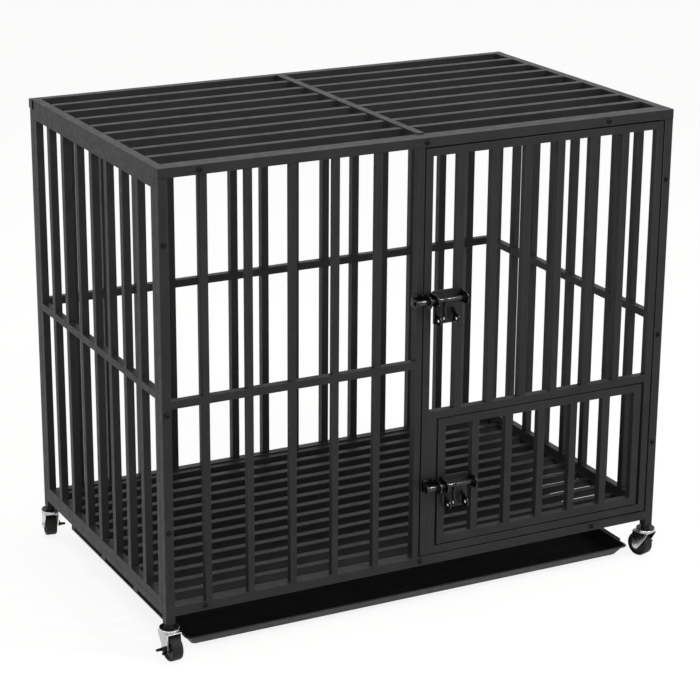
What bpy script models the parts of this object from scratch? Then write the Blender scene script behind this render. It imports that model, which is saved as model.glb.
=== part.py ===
"""Dog crate of welded square tube, with a main door, a feeding door, a pull-out tray and casters.

Metres, +Z up. The pieces are laid out in the crate's own coordinates: x from its left end, y from
its front face and z from the underside of its bottom rails. An empty then sets the crate down with
the origin on the floor, under the middle of everything.
"""
import math

import bmesh
import bpy
from mathutils import Matrix, Vector

# Whole crate
LENGTH = 1.070
DEPTH = 0.645
CAGE_HEIGHT = 0.845
SEAT_GAP = 0.0003

# Front and rear panels
POST = 0.018
FRAME_BAR = 0.013
LEG_DROP = 0.015
MIDDLE_POST_X = 0.5135
MIDDLE_POST_WIDTH = 0.0135
SECTION_BAR_COUNT = 5
SECTION_FIRST_GAP = 0.062
SECTION_RAIL_Z = 0.4035
FRONT_RAIL = 0.015
REAR_BAR = 0.016
REAR_BAR_COUNT = 14
REAR_FIRST_GAP = 0.050
REAR_LAST_GAP = 0.0435
REAR_RAIL_Z = 0.420
REAR_RAIL = 0.016

# Side panels
TUBE = 0.015
SIDE_BAR_COUNT = 7
SIDE_RAIL_Z = 0.417
SIDE_BOTTOM_RAIL = 0.0167
SIDE_TOP_RAIL = 0.020

# Top and floor panels
TOP_SLAT_COUNT = 8
CENTRE_BAR_WIDTH = 0.016
CENTRE_BAR_RISE = 0.002
FLOOR_SLAT_COUNT = 12
PLUG_CAP = 0.0015
PLUG_BODY = 0.012
PLUG_DEPTH = 0.010

# Main door
DOOR_GAP = 0.003
DOOR_TUBE = 0.015
DOOR_BAR_COUNT = 6
DOOR_FIRST_GAP = 0.053
DOOR_LAST_GAP = 0.062
DOOR_RAIL_Z = 0.298
KEEPER_STILE = 0.017

# Feeding door
FEED_GAP = 0.0027
FEED_LEFT_GAP = 0.0045
FEED_RIGHT_GAP = 0.0065
FEED_TUBE = 0.016
FEED_BAR_COUNT = 5

# Door pivots
PIVOT_INSET = 0.005
PIVOT_RADIUS = 0.0025
RUNNING_CLEARANCE = 0.0001
PIVOT_IN_DOOR = 0.014
PIVOT_IN_FRAME = 0.011

# Panel screws
SCREW_HEAD_RADIUS = 0.0052
SCREW_HEAD = 0.0028
SCREW_RADIUS = 0.0029
SCREW_LENGTH = 0.026
SOCKET_RADIUS = 0.0019
SOCKET_DEPTH = 0.0016
SOCKET_RIM_RADIUS = 0.0023
# Shares of the head's radius and height along its dome
HEAD_DOME = ((1, 0), (0.96, 0.4), (0.76, 0.8))
RAIL_SCREW_X = (0.079, 0.531, 0.924)
POST_SCREW_Z = (0.1665, 0.393, 0.708)

# Slide bolt latches, measured from the left end of the door's bracket and from the rod's axis
LATCH_METAL = 0.003
BRACKET_LENGTH = 0.0655
BRACKET_RISE = 0.014
BRACKET_DROP = 0.052
EAR_HEIGHT = 0.026
EAR_REACH = 0.035
EAR_ROUNDING = 0.011
ROD_RADIUS = 0.004
ROD_EDGE = 0.0008
ROD_CLEARANCE = 0.0004
ROD_STANDOFF = 0.020
ROD_PAST_BRACKET = 0.005
ROD_IN_KEEPER = 0.0175
KEEPER_LENGTH = 0.0285
KEEPER_GAP = 0.0125
SLEEVE_RADIUS = 0.0065
FLAG_X = 0.0205
FLAG_RADIUS = 0.008
FLAG_COLLAR = 0.003
PADLOCK_DROP = 0.040
PADLOCK_HOLE_RADIUS = 0.0028
PADLOCK_EAR_RADIUS = 0.009
PADLOCK_EAR_X = (0.0085, 0.047)
UPPER_LATCH_Z = 0.539
LOWER_LATCH_Z = 0.166
UPPER_LATCH_INSET = 0.011
LOWER_LATCH_INSET = 0.0032

# Tray and its runners
TRAY_INSET = 0.046
TRAY_FRONT_Y = 0.012
TRAY_REAR_Y = 0.607
TRAY_DROP = 0.057
TRAY_DEPTH = 0.022
TRAY_METAL = 0.002
TRAY_LIP = 0.004
TRAY_SLOPE = 0.014
TRAY_CORNER = 0.012
RUNNER_METAL = 0.002
RUNNER_FLANGE = 0.021
RUNNER_LEDGE = 0.007
RUNNER_SIDE_GAP = 0.004
RUNNER_FRONT_Y = 0.050
RUNNER_REAR_Y = 0.597
STRAP_Y = (0.240, 0.408, 0.577)
STRAP_WIDTH = 0.020

# Casters
FLOOR_DROP = 0.084
WHEEL_RADIUS = 0.024
WHEEL_WIDTH = 0.022
WHEEL_CHAMFER = 0.002
WHEEL_TRAIL = 0.012
AXLE_RADIUS = 0.003
AXLE_HEAD_RADIUS = 0.004
AXLE_HEAD = 0.002
STEM_RADIUS = 0.004
STEM_LENGTH = 0.032
STEM_CHAMFER = 0.001
DOME_RADIUS = 0.0183
DOME_NECK_RADIUS = 0.011
DOME_HEIGHT = 0.0078
DOME_STEPS = (0, 0.4, 0.75, 1)
KINGPIN_HEAD_RADIUS = 0.006
KINGPIN_HEAD = 0.0015
RACE_RADIUS = 0.0195
RACE_HEIGHT = 0.0055
FORK_METAL = 0.002
FORK_SIDE_GAP = 0.0024
FORK_BACK = 0.016
FORK_EYE_RADIUS = 0.0085
CROWN_HEIGHT = 0.0035
LEVER_HUB_RADIUS = 0.009
LEVER_HUB = 0.004
LEVER_REACH = 0.031
PEDAL_Z = (-0.003, 0.001)
SMALL_TAB_REACH = 0.023
SMALL_TAB_ALONG = 0.0063
SMALL_TAB_DROP = 0.0081
# Each caster's end and side of the crate, as 0 or 1, and the way its wheel trails, in degrees
CASTERS = ((0, 0, 275), (1, 0, 105), (0, 1, 80), (1, 1, 90))

# Facets of round pieces, and how far welded pieces run into each other
ROUND = 16
SCREW_FACETS = 12
WHEEL_FACETS = 24
WELD = 0.0005
SHARP_ANGLE = 35

# Places that follow from the sizes
AXLE_Z = WHEEL_RADIUS - FLOOR_DROP
REAR_Y = DEPTH - POST
PANEL_FRONT_Y = POST + SEAT_GAP
PANEL_REAR_Y = REAR_Y - SEAT_GAP
TOP_RAIL_Z = CAGE_HEIGHT - POST
DOOR_X = (MIDDLE_POST_X + MIDDLE_POST_WIDTH + DOOR_GAP, LENGTH - POST - DOOR_GAP)
DOOR_Z = (POST + DOOR_GAP, TOP_RAIL_Z - DOOR_GAP)
FEED_X = (DOOR_X[0] + DOOR_TUBE + KEEPER_STILE + FEED_LEFT_GAP, DOOR_X[1] - DOOR_TUBE - FEED_RIGHT_GAP)
FEED_Z = (DOOR_Z[0] + DOOR_TUBE + FEED_GAP, DOOR_RAIL_Z - FEED_GAP)
DOME_TOP_Z = -LEG_DROP - SEAT_GAP
DOME_Z = DOME_TOP_Z - DOME_HEIGHT
RACE_TOP_Z = DOME_Z - SEAT_GAP
RACE_Z = RACE_TOP_Z - RACE_HEIGHT
CROWN_Z = RACE_Z + WELD - CROWN_HEIGHT
LEG_INNER_Y = WHEEL_WIDTH / 2 + FORK_SIDE_GAP
LEG_OUTER_Y = LEG_INNER_Y + FORK_METAL

# Turns that lay a shape's own z along x, or along -y
ALONG_X = Matrix(((0, 0, 1, 0), (1, 0, 0, 0), (0, 1, 0, 0), (0, 0, 0, 1)))
FORWARD = Matrix(((1, 0, 0, 0), (0, 0, -1, 0), (0, 1, 0, 0), (0, 0, 0, 1)))

POWDER_COAT = {"Base Color": (0.028, 0.028, 0.030, 1), "Roughness": 0.45, "Metallic": 0.0}
BLACK_ENAMEL = {"Base Color": (0.012, 0.012, 0.013, 1), "Roughness": 0.22, "Metallic": 0.0}
BLACK_ZINC = {"Base Color": (0.030, 0.030, 0.032, 1), "Roughness": 0.35, "Metallic": 0.9}
BLACK_PLASTIC = {"Base Color": (0.015, 0.015, 0.016, 1), "Roughness": 0.40, "Metallic": 0.0}
CHROME = {"Base Color": (0.62, 0.62, 0.64, 1), "Roughness": 0.12, "Metallic": 1.0}
WHEEL_RUBBER = {"Base Color": (0.042, 0.042, 0.038, 1), "Roughness": 0.60, "Metallic": 0.0}


def add_block(bm, x, y, z):
    """Add a box between two values of x, of y and of z."""
    v = [bm.verts.new((a, b, c)) for c in z for b in y for a in x]
    for corners in ((0, 2, 3, 1), (4, 5, 7, 6), (0, 1, 5, 4), (2, 6, 7, 3), (0, 4, 6, 2), (1, 3, 7, 5)):
        bm.faces.new([v[corner] for corner in corners])


def add_turned(bm, profile, matrix=Matrix(), closed=False, segments=ROUND):
    """Turn (radius, height) points about z, with heights rising on the outer side."""
    rings = []
    for radius, height in profile:
        if radius == 0:
            rings.append([bm.verts.new(matrix @ Vector((0, 0, height)))] * segments)
            continue
        turns = [math.tau * step / segments for step in range(segments)]
        points = [Vector((radius * math.cos(turn), radius * math.sin(turn), height)) for turn in turns]
        rings.append([bm.verts.new(matrix @ point) for point in points])
    if closed:
        rings.append(rings[0])
    for low, high in zip(rings, rings[1:]):
        for step in range(segments):
            after = (step + 1) % segments
            corners = (low[step], low[after], high[after], high[step])
            bm.faces.new(list(dict.fromkeys(corners)))


def add_pin(bm, radius, low, high, matrix=Matrix(), segments=ROUND):
    """Add a plain cylinder between two heights."""
    add_turned(bm, ((0, low), (radius, low), (radius, high), (0, high)), matrix, segments=segments)


def add_prism(bm, outline, low, high, matrix):
    """Extrude an outline, given anticlockwise, between two heights."""
    base = [bm.verts.new(matrix @ Vector((u, v, low))) for u, v in outline]
    lid = [bm.verts.new(matrix @ Vector((u, v, high))) for u, v in outline]
    bm.faces.new(base[::-1])
    bm.faces.new(lid)
    for step in range(len(outline)):
        after = (step + 1) % len(outline)
        bm.faces.new((base[step], base[after], lid[after], lid[step]))


def arc(centre, radius, start, end, steps=4):
    """Points of an arc between two angles in degrees."""
    points = []
    for step in range(steps + 1):
        angle = math.radians(start + (end - start) * step / steps)
        points.append((centre[0] + radius * math.cos(angle), centre[1] + radius * math.sin(angle)))
    return points


def spread(start, end, count, width, first_gap=None, last_gap=None):
    """Both edges of each of the bars that divide a span evenly, apart from any end gap that is given."""
    free = end - start - count * width - (first_gap or 0) - (last_gap or 0)
    gap = free / (count + 1 - (first_gap is not None) - (last_gap is not None))
    first = start + (gap if first_gap is None else first_gap)
    return [(first + step * (width + gap), first + step * (width + gap) + width) for step in range(count)]


def place_in_crate(item):
    """Where an item stands in the crate's coordinates, if nothing above it is turned."""
    place = Vector((0, 0, 0))
    while item.parent:
        place += item.location
        item = item.parent
    return place


def add_empty(name, place, parent=None):
    """Add an empty at a place in its parent's coordinates."""
    empty = bpy.data.objects.new(name, None)
    bpy.context.scene.collection.objects.link(empty)
    empty.parent = parent
    empty.location = place
    return empty


def add_pivot(name, place, parent):
    """Add an empty at a place in the crate's coordinates, on the axis of a joint."""
    return add_empty(name, Vector(place) - place_in_crate(parent), parent)


def add_object(name, bm, parent, place, finish=None, smooth=False):
    """Make an object of a bmesh; without a finish it is only a tool for a Boolean."""
    mesh = bpy.data.meshes.new(name)
    bm.to_mesh(mesh)
    bm.free()
    if smooth:
        mesh.shade_smooth()
        mesh.set_sharp_from_angle(angle=math.radians(SHARP_ANGLE))
    item = bpy.data.objects.new(name, mesh)
    bpy.context.scene.collection.objects.link(item)
    item.parent = parent
    item.location = place
    if finish is None:
        item.hide_render = True
        item.display_type = "WIRE"
    else:
        material = bpy.data.materials.new(name)
        material.use_nodes = True
        surface = material.node_tree.nodes["Principled BSDF"]
        for socket, value in finish.items():
            surface.inputs[socket].default_value = value
        mesh.materials.append(material)
    return item


def join(item, operation, tool):
    """Unite an object with a tool, or cut the tool out of it."""
    boolean = item.modifiers.new(tool.name, "BOOLEAN")
    boolean.operation = operation
    boolean.solver = "EXACT"
    boolean.object = tool


def add_welded(name, layers, cutters, parent, finish, place=None, smooth=False):
    """Weld layers of shapes, each layer's own shapes lying apart, and cut the holes."""
    if place is None:
        place = -place_in_crate(parent)
    item = add_object(name, layers[0], parent, place, finish, smooth)
    for number, layer in enumerate(layers[1:]):
        join(item, "UNION", add_object(f"{name}_weld_{number}", layer, parent, place))
    for cutter in cutters:
        join(item, "DIFFERENCE", cutter)
    return item


def blocks(*boxes):
    """A bmesh of boxes that lie apart."""
    bm = bmesh.new()
    for x, y, z in boxes:
        add_block(bm, x, y, z)
    return bm


def mirrored(span):
    """The same span of x from the crate's right end."""
    return (LENGTH - span[1], LENGTH - span[0])


def front_panel(crate, cutters):
    """Posts, middle post, rails and the fixed bars left of the main door."""
    middle = (MIDDLE_POST_X, MIDDLE_POST_X + MIDDLE_POST_WIDTH)
    bars = spread(POST, middle[0], SECTION_BAR_COUNT, FRAME_BAR, first_gap=SECTION_FIRST_GAP)
    inside = (POST / 2, CAGE_HEIGHT - POST / 2)
    uprights = [(x, (0, POST), (-LEG_DROP, CAGE_HEIGHT)) for x in ((0, POST), (LENGTH - POST, LENGTH))]
    uprights += [(x, (0, FRAME_BAR), inside) for x in bars]
    uprights.append((middle, (0, POST), inside))
    rails = [((POST / 2, LENGTH - POST / 2), (0, POST), z) for z in ((0, POST), (TOP_RAIL_Z, CAGE_HEIGHT))]
    section_rail = (SECTION_RAIL_Z, SECTION_RAIL_Z + FRONT_RAIL)
    rails.append(((POST / 2, sum(middle) / 2), (0, FRONT_RAIL), section_rail))
    add_welded("front_panel", (blocks(*uprights), blocks(*rails)), cutters, crate, POWDER_COAT)


def rear_panel(crate, cutters):
    """Posts, rails and bars of the back, under the top panel's rear rail."""
    top = TOP_RAIL_Z - SEAT_GAP
    bars = spread(POST, LENGTH - POST, REAR_BAR_COUNT, REAR_BAR, REAR_FIRST_GAP, REAR_LAST_GAP)
    uprights = [(x, (REAR_Y, DEPTH), (-LEG_DROP, top)) for x in ((0, POST), (LENGTH - POST, LENGTH))]
    uprights += [(x, (DEPTH - REAR_BAR, DEPTH), (POST / 2, top - POST / 2)) for x in bars]
    across = (POST / 2, LENGTH - POST / 2)
    rails = [(across, (REAR_Y, DEPTH), z) for z in ((0, POST), (top - POST, top))]
    rails.append((across, (DEPTH - TUBE, DEPTH), (REAR_RAIL_Z, REAR_RAIL_Z + REAR_RAIL)))
    add_welded("rear_panel", (blocks(*uprights), blocks(*rails)), cutters, crate, POWDER_COAT)


def side_panel(name, side, crate, cutters):
    """Stiles, rails and bars of one end, between the front and rear panels."""
    low = TUBE + SEAT_GAP
    high = TOP_RAIL_Z - SEAT_GAP
    stiles = ((PANEL_FRONT_Y, PANEL_FRONT_Y + TUBE), (PANEL_REAR_Y - TUBE, PANEL_REAR_Y))
    bars = spread(stiles[0][1], stiles[1][0], SIDE_BAR_COUNT, TUBE)
    x = side((0, TUBE))
    uprights = [(x, y, (low, high)) for y in stiles]
    uprights += [(x, y, (low + SIDE_BOTTOM_RAIL / 2, high - SIDE_TOP_RAIL / 2)) for y in bars]
    heights = ((low, low + SIDE_BOTTOM_RAIL), (SIDE_RAIL_Z, SIDE_RAIL_Z + TUBE), (high - SIDE_TOP_RAIL, high))
    rails = [(x, (PANEL_FRONT_Y + TUBE / 2, PANEL_REAR_Y - TUBE / 2), z) for z in heights]
    add_welded(name, (blocks(*uprights), blocks(*rails)), cutters, crate, POWDER_COAT)


def top_panel(crate, cutters):
    """Slatted lid: rails, slats and the bar down its middle."""
    slat_z = (CAGE_HEIGHT - TUBE, CAGE_HEIGHT)
    front_rail = (PANEL_FRONT_Y, PANEL_FRONT_Y + TUBE)
    slats = spread(front_rail[1], REAR_Y, TOP_SLAT_COUNT, TUBE)
    lengthwise = [((0, LENGTH), front_rail, slat_z), ((0, LENGTH), (REAR_Y, DEPTH), (TOP_RAIL_Z, CAGE_HEIGHT))]
    lengthwise += [((POST / 2, LENGTH - POST / 2), y, slat_z) for y in slats]
    side_rail = ((0, POST), (PANEL_FRONT_Y + TUBE / 2, REAR_Y + POST / 2), (TOP_RAIL_Z, CAGE_HEIGHT))
    centre_x = ((LENGTH - CENTRE_BAR_WIDTH) / 2, (LENGTH + CENTRE_BAR_WIDTH) / 2)
    centre_y = (PANEL_FRONT_Y + TUBE / 2, REAR_Y + POST / 2)
    crosswise = [side_rail, (mirrored(side_rail[0]), side_rail[1], side_rail[2])]
    crosswise.append((centre_x, centre_y, (slat_z[0], CAGE_HEIGHT + CENTRE_BAR_RISE)))
    add_welded("top_panel", (blocks(*lengthwise), blocks(*crosswise)), cutters, crate, POWDER_COAT)


def floor_panel(crate, cutters):
    """Slatted floor that carries the animal, screwed between the bottom rails."""
    z = (0, TUBE)
    rails = ((PANEL_FRONT_Y, PANEL_FRONT_Y + TUBE), (PANEL_REAR_Y - TUBE, PANEL_REAR_Y))
    slats = spread(rails[0][1], rails[1][0], FLOOR_SLAT_COUNT, TUBE)
    lengthwise = [((0, LENGTH), y, z) for y in rails]
    lengthwise += [((POST / 2, LENGTH - POST / 2), y, z) for y in slats]
    along = (PANEL_FRONT_Y + TUBE / 2, PANEL_REAR_Y - TUBE / 2)
    crosswise = [(x, along, z) for x in ((0, POST), mirrored((0, POST)))]
    add_welded("floor_panel", (blocks(*lengthwise), blocks(*crosswise)), cutters, crate, POWDER_COAT)


def end_plug(name, side, crate):
    """Plastic plug in one end of the top panel's rear rail."""
    middle = POST / 2
    square = (REAR_Y + middle - PLUG_BODY / 2, REAR_Y + middle + PLUG_BODY / 2)
    square_z = (TOP_RAIL_Z + middle - PLUG_BODY / 2, TOP_RAIL_Z + middle + PLUG_BODY / 2)
    cap = (side((-SEAT_GAP - PLUG_CAP, -SEAT_GAP)), (REAR_Y, DEPTH), (TOP_RAIL_Z, CAGE_HEIGHT))
    body = (side((-SEAT_GAP - WELD, PLUG_DEPTH)), square, square_z)
    add_welded(name, (blocks(cap), blocks(body)), (), crate, BLACK_PLASTIC)


def main_door(hinge, cutters):
    """Frame and upper bars of the main door, with the stile that the feeding door locks to."""
    y = (0, DOOR_TUBE)
    stiles = ((DOOR_X[0], DOOR_X[0] + DOOR_TUBE), (DOOR_X[1] - DOOR_TUBE, DOOR_X[1]))
    rail_z = (DOOR_RAIL_Z, DOOR_RAIL_Z + DOOR_TUBE)
    uprights = [(x, y, DOOR_Z) for x in stiles]
    bars = spread(stiles[0][1], stiles[1][0], DOOR_BAR_COUNT, DOOR_TUBE, DOOR_FIRST_GAP, DOOR_LAST_GAP)
    uprights += [(x, y, (sum(rail_z) / 2, DOOR_Z[1] - DOOR_TUBE / 2)) for x in bars]
    across = (DOOR_X[0] + DOOR_TUBE / 2, DOOR_X[1] - DOOR_TUBE / 2)
    heights = ((DOOR_Z[0], DOOR_Z[0] + DOOR_TUBE), rail_z, (DOOR_Z[1] - DOOR_TUBE, DOOR_Z[1]))
    rails = [(across, y, z) for z in heights]
    keeper_x = (stiles[0][1] - WELD, stiles[0][1] + KEEPER_STILE)
    keeper_stile = (keeper_x, y, (DOOR_Z[0] + DOOR_TUBE / 2, sum(rail_z) / 2))
    layers = (blocks(*uprights), blocks(*rails), blocks(keeper_stile))
    add_welded("main_door", layers, cutters, hinge, POWDER_COAT)


def feeding_door(hinge, cutters):
    """The small door in the lower part of the main door."""
    y = (0, DOOR_TUBE)
    stiles = ((FEED_X[0], FEED_X[0] + FEED_TUBE), (FEED_X[1] - FEED_TUBE, FEED_X[1]))
    inside = (FEED_Z[0] + FEED_TUBE / 2, FEED_Z[1] - FEED_TUBE / 2)
    uprights = [(x, y, FEED_Z) for x in stiles]
    uprights += [(x, y, inside) for x in spread(stiles[0][1], stiles[1][0], FEED_BAR_COUNT, DOOR_TUBE)]
    across = (FEED_X[0] + FEED_TUBE / 2, FEED_X[1] - FEED_TUBE / 2)
    rails = [(across, y, z) for z in ((FEED_Z[0], FEED_Z[0] + FEED_TUBE), (FEED_Z[1] - FEED_TUBE, FEED_Z[1]))]
    add_welded("feeding_door", (blocks(*uprights), blocks(*rails)), cutters, hinge, POWDER_COAT)


def pivot_spans(door_z):
    """Heights of a door's lower and upper pivot pins, each from its end in the frame to its end in the door."""
    lower = (door_z[0] - DOOR_GAP - PIVOT_IN_FRAME, door_z[0] + PIVOT_IN_DOOR)
    upper = (door_z[1] - PIVOT_IN_DOOR, door_z[1] + DOOR_GAP + PIVOT_IN_FRAME)
    return lower, upper


def pivot_pins(name, hinge_x, door_z, carrier):
    """The two pins that a door turns on, held by what carries the door."""
    for label, (low, high) in zip(("lower", "upper"), pivot_spans(door_z)):
        bm = bmesh.new()
        add_pin(bm, PIVOT_RADIUS, low, high)
        place = Vector((hinge_x, PIVOT_INSET, 0)) - place_in_crate(carrier)
        add_object(f"{name}_pin_{label}", bm, carrier, place, BLACK_ZINC, smooth=True)


def pivot_holes(name, hinge_x, door_z, carrier):
    """Tool for the holes that a door's pivot pins sit in."""
    bm = bmesh.new()
    for low, high in pivot_spans(door_z):
        matrix = Matrix.Translation((hinge_x, PIVOT_INSET, 0))
        add_pin(bm, PIVOT_RADIUS + RUNNING_CLEARANCE, low - SEAT_GAP, high + SEAT_GAP, matrix)
    return add_object(name, bm, carrier, -place_in_crate(carrier))


def screw_places():
    """Name and (x, z) of each screw in the front face."""
    places = {}
    for label, z in (("top", CAGE_HEIGHT - POST / 2), ("bottom", POST / 2)):
        for number, x in enumerate(RAIL_SCREW_X, 1):
            places[f"screw_{label}_{number}"] = (x, z)
    for label, x in (("left", POST / 2), ("right", LENGTH - POST / 2)):
        for number, z in enumerate(POST_SCREW_Z, 1):
            places[f"screw_{label}_{number}"] = (x, z)
    return places


def panel_screws(crate):
    """Round-headed screws with a socket, through the front panel into the panels behind it."""
    head = SCREW_HEAD
    bm = bmesh.new()
    profile = [(0, -SCREW_LENGTH), (SCREW_RADIUS, -SCREW_LENGTH), (SCREW_RADIUS, 0)]
    profile += [(SCREW_HEAD_RADIUS * across, head * up) for across, up in HEAD_DOME]
    profile += [(SOCKET_RIM_RADIUS, head), (SOCKET_RADIUS, head), (SOCKET_RADIUS, head - SOCKET_DEPTH)]
    add_turned(bm, profile + [(0, head - SOCKET_DEPTH)], FORWARD, segments=SCREW_FACETS)
    pattern = bpy.data.meshes.new("screw")
    bm.to_mesh(pattern)
    bm.free()
    for name, (x, z) in screw_places().items():
        screw = bmesh.new()
        screw.from_mesh(pattern)
        add_object(name, screw, crate, (x, -SEAT_GAP, z), BLACK_ZINC, smooth=True)


def screw_holes(crate):
    """Tool for the holes of the panel screws."""
    bm = bmesh.new()
    for x, z in screw_places().values():
        matrix = Matrix.Translation((x, 0, z)) @ FORWARD
        add_pin(bm, SCREW_RADIUS + SEAT_GAP, -SCREW_LENGTH - 2 * SEAT_GAP, POST / 2, matrix, SCREW_FACETS)
    return add_object("screw_holes", bm, crate, (0, 0, 0))


def stem_holes(crate):
    """Tool for the holes of the caster stems in the posts."""
    bm = bmesh.new()
    for place in caster_places():
        low, high = -LEG_DROP - POST, DOME_TOP_Z + STEM_LENGTH + SEAT_GAP
        add_pin(bm, STEM_RADIUS + SEAT_GAP, low, high, Matrix.Translation((place[0], place[1], 0)))
    return add_object("stem_holes", bm, crate, (0, 0, 0))


def plug_holes(crate):
    """Tool for the open ends of the top panel's rear rail."""
    wide = PLUG_BODY / 2 + SEAT_GAP
    y, z = REAR_Y + POST / 2, TOP_RAIL_Z + POST / 2
    span = (-POST, PLUG_DEPTH + SEAT_GAP)
    boxes = [(x, (y - wide, y + wide), (z - wide, z + wide)) for x in (span, mirrored(span))]
    return add_object("plug_holes", blocks(*boxes), crate, (0, 0, 0))


def ear_outline(back_y):
    """Rounded plate that stands out from the door, as (y, z) about the rod's axis."""
    front = ROD_STANDOFF - EAR_REACH
    high = EAR_HEIGHT / 2
    corner = front + EAR_ROUNDING
    outline = [(back_y, high)] + arc((corner, high - EAR_ROUNDING), EAR_ROUNDING, 90, 180)
    return outline + arc((corner, EAR_ROUNDING - high), EAR_ROUNDING, 180, 270) + [(back_y, -high)]


def padlock_outline(back_y):
    """Small round-ended plate with the padlock hole, as (y, z) about the rod's axis."""
    centre = (0, -PADLOCK_DROP)
    nose = arc(centre, PADLOCK_EAR_RADIUS, 90, 270, 8)
    return [(back_y, centre[1] + PADLOCK_EAR_RADIUS)] + nose + [(back_y, centre[1] - PADLOCK_EAR_RADIUS)]


def bore_tool(name, spans, parent):
    """Tool for round holes along x, each given as radius, height and two values of x."""
    bm = bmesh.new()
    for radius, z, low, high in spans:
        add_pin(bm, radius, low, high, Matrix.Translation((0, 0, z)) @ ALONG_X)
    return add_object(name, bm, parent, (0, 0, 0))


def latch(name, place, door, carrier):
    """Slide bolt: bracket on a door, keeper on what carries the door, rod and padlock flag."""
    frame = add_pivot(f"{name}_frame", place, door)
    plate_front = ROD_STANDOFF - SEAT_GAP - LATCH_METAL
    plate_y = (plate_front, ROD_STANDOFF - SEAT_GAP)
    back_y = plate_front + WELD
    far = BRACKET_LENGTH - LATCH_METAL
    hole = ROD_RADIUS + ROD_CLEARANCE

    ears = bmesh.new()
    for x in (0, far):
        add_prism(ears, ear_outline(back_y), x, x + LATCH_METAL, ALONG_X)
    for x in PADLOCK_EAR_X:
        add_prism(ears, padlock_outline(back_y), x, x + LATCH_METAL, ALONG_X)
    plate = blocks(((0, BRACKET_LENGTH), plate_y, (-BRACKET_DROP, BRACKET_RISE)))
    bores = ((hole, 0, -LATCH_METAL, BRACKET_LENGTH + LATCH_METAL),
             (PADLOCK_HOLE_RADIUS, -PADLOCK_DROP, 0, BRACKET_LENGTH))
    cutter = bore_tool(f"{name}_bracket_bores", bores, frame)
    add_welded(f"{name}_bracket", (plate, ears), (cutter,), frame, BLACK_ENAMEL, (0, 0, 0))

    keeper_frame = add_pivot(f"{name}_keeper_frame", place, carrier)
    start, end = -KEEPER_GAP - KEEPER_LENGTH, -KEEPER_GAP
    ears = bmesh.new()
    for x in (start, end - LATCH_METAL):
        add_prism(ears, ear_outline(back_y), x, x + LATCH_METAL, ALONG_X)
    plate = blocks(((start, end), plate_y, (-EAR_HEIGHT / 2, EAR_HEIGHT / 2)))
    sleeve = bmesh.new()
    add_pin(sleeve, SLEEVE_RADIUS, start + WELD, end - WELD, ALONG_X)
    cutter = bore_tool(f"{name}_keeper_bore", ((hole, 0, start - LATCH_METAL, end + LATCH_METAL),), keeper_frame)
    add_welded(f"{name}_keeper", (plate, ears, sleeve), (cutter,), keeper_frame, BLACK_ENAMEL, (0, 0, 0))

    slide = add_empty(f"{name}_slide", (0, 0, 0), frame)
    low, high = end - ROD_IN_KEEPER, BRACKET_LENGTH + ROD_PAST_BRACKET
    rod = bmesh.new()
    end_radius = ROD_RADIUS - ROD_EDGE
    profile = [(0, low), (end_radius, low), (ROD_RADIUS, low + ROD_EDGE), (ROD_RADIUS, high - ROD_EDGE)]
    add_turned(rod, profile + [(end_radius, high), (0, high)], ALONG_X)
    add_object(f"{name}_rod", rod, slide, (0, 0, 0), BLACK_ZINC, smooth=True)

    outline = arc((0, 0), FLAG_RADIUS, 0, 180, 8) + arc((0, -PADLOCK_DROP), FLAG_RADIUS, 180, 360, 8)
    flag = bmesh.new()
    add_prism(flag, outline, FLAG_X, FLAG_X + LATCH_METAL, ALONG_X)
    collar = bmesh.new()
    add_pin(collar, SLEEVE_RADIUS, FLAG_X - FLAG_COLLAR, FLAG_X + LATCH_METAL + FLAG_COLLAR, ALONG_X)
    bores = ((hole, 0, 0, far), (PADLOCK_HOLE_RADIUS, -PADLOCK_DROP, 0, far))
    cutter = bore_tool(f"{name}_flag_bores", bores, slide)
    add_welded(f"{name}_flag", (flag, collar), (cutter,), slide, BLACK_ENAMEL, (0, 0, 0))


def tray_ring(bm, inset, z):
    """Loop of the tray's outline at one height, drawn in from its lip by an inset."""
    x = (TRAY_INSET + inset, LENGTH - TRAY_INSET - inset)
    y = (TRAY_FRONT_Y + inset, TRAY_REAR_Y - inset)
    r = TRAY_CORNER
    loop = arc((x[0] + r, y[0] + r), r, 180, 270, 4) + arc((x[1] - r, y[0] + r), r, 270, 360, 4)
    loop += arc((x[1] - r, y[1] - r), r, 0, 90, 4) + arc((x[0] + r, y[1] - r), r, 90, 180, 4)
    return [bm.verts.new((a, b, z)) for a, b in loop]


def tray(slide):
    """Shallow pressed tray with a flat lip and sloping walls of even thickness."""
    top = -TRAY_DROP
    depth = TRAY_DEPTH - TRAY_METAL
    lean = TRAY_SLOPE / depth
    inner = TRAY_LIP + TRAY_METAL * (math.hypot(1, lean) - lean)
    steps = ((TRAY_LIP + TRAY_SLOPE, top - TRAY_DEPTH), (TRAY_LIP, top - TRAY_METAL), (0, top - TRAY_METAL),
             (0, top), (inner, top), (inner + TRAY_SLOPE, top - depth))
    bm = bmesh.new()
    rings = [tray_ring(bm, inset, z) for inset, z in steps]
    for low, high in zip(rings, rings[1:]):
        for step in range(len(low)):
            after = (step + 1) % len(low)
            bm.faces.new((low[step], low[after], high[after], high[step]))
    bm.faces.new(rings[0][::-1])
    bm.faces.new(rings[-1])
    add_object("tray", bm, slide, -place_in_crate(slide), POWDER_COAT)


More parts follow.
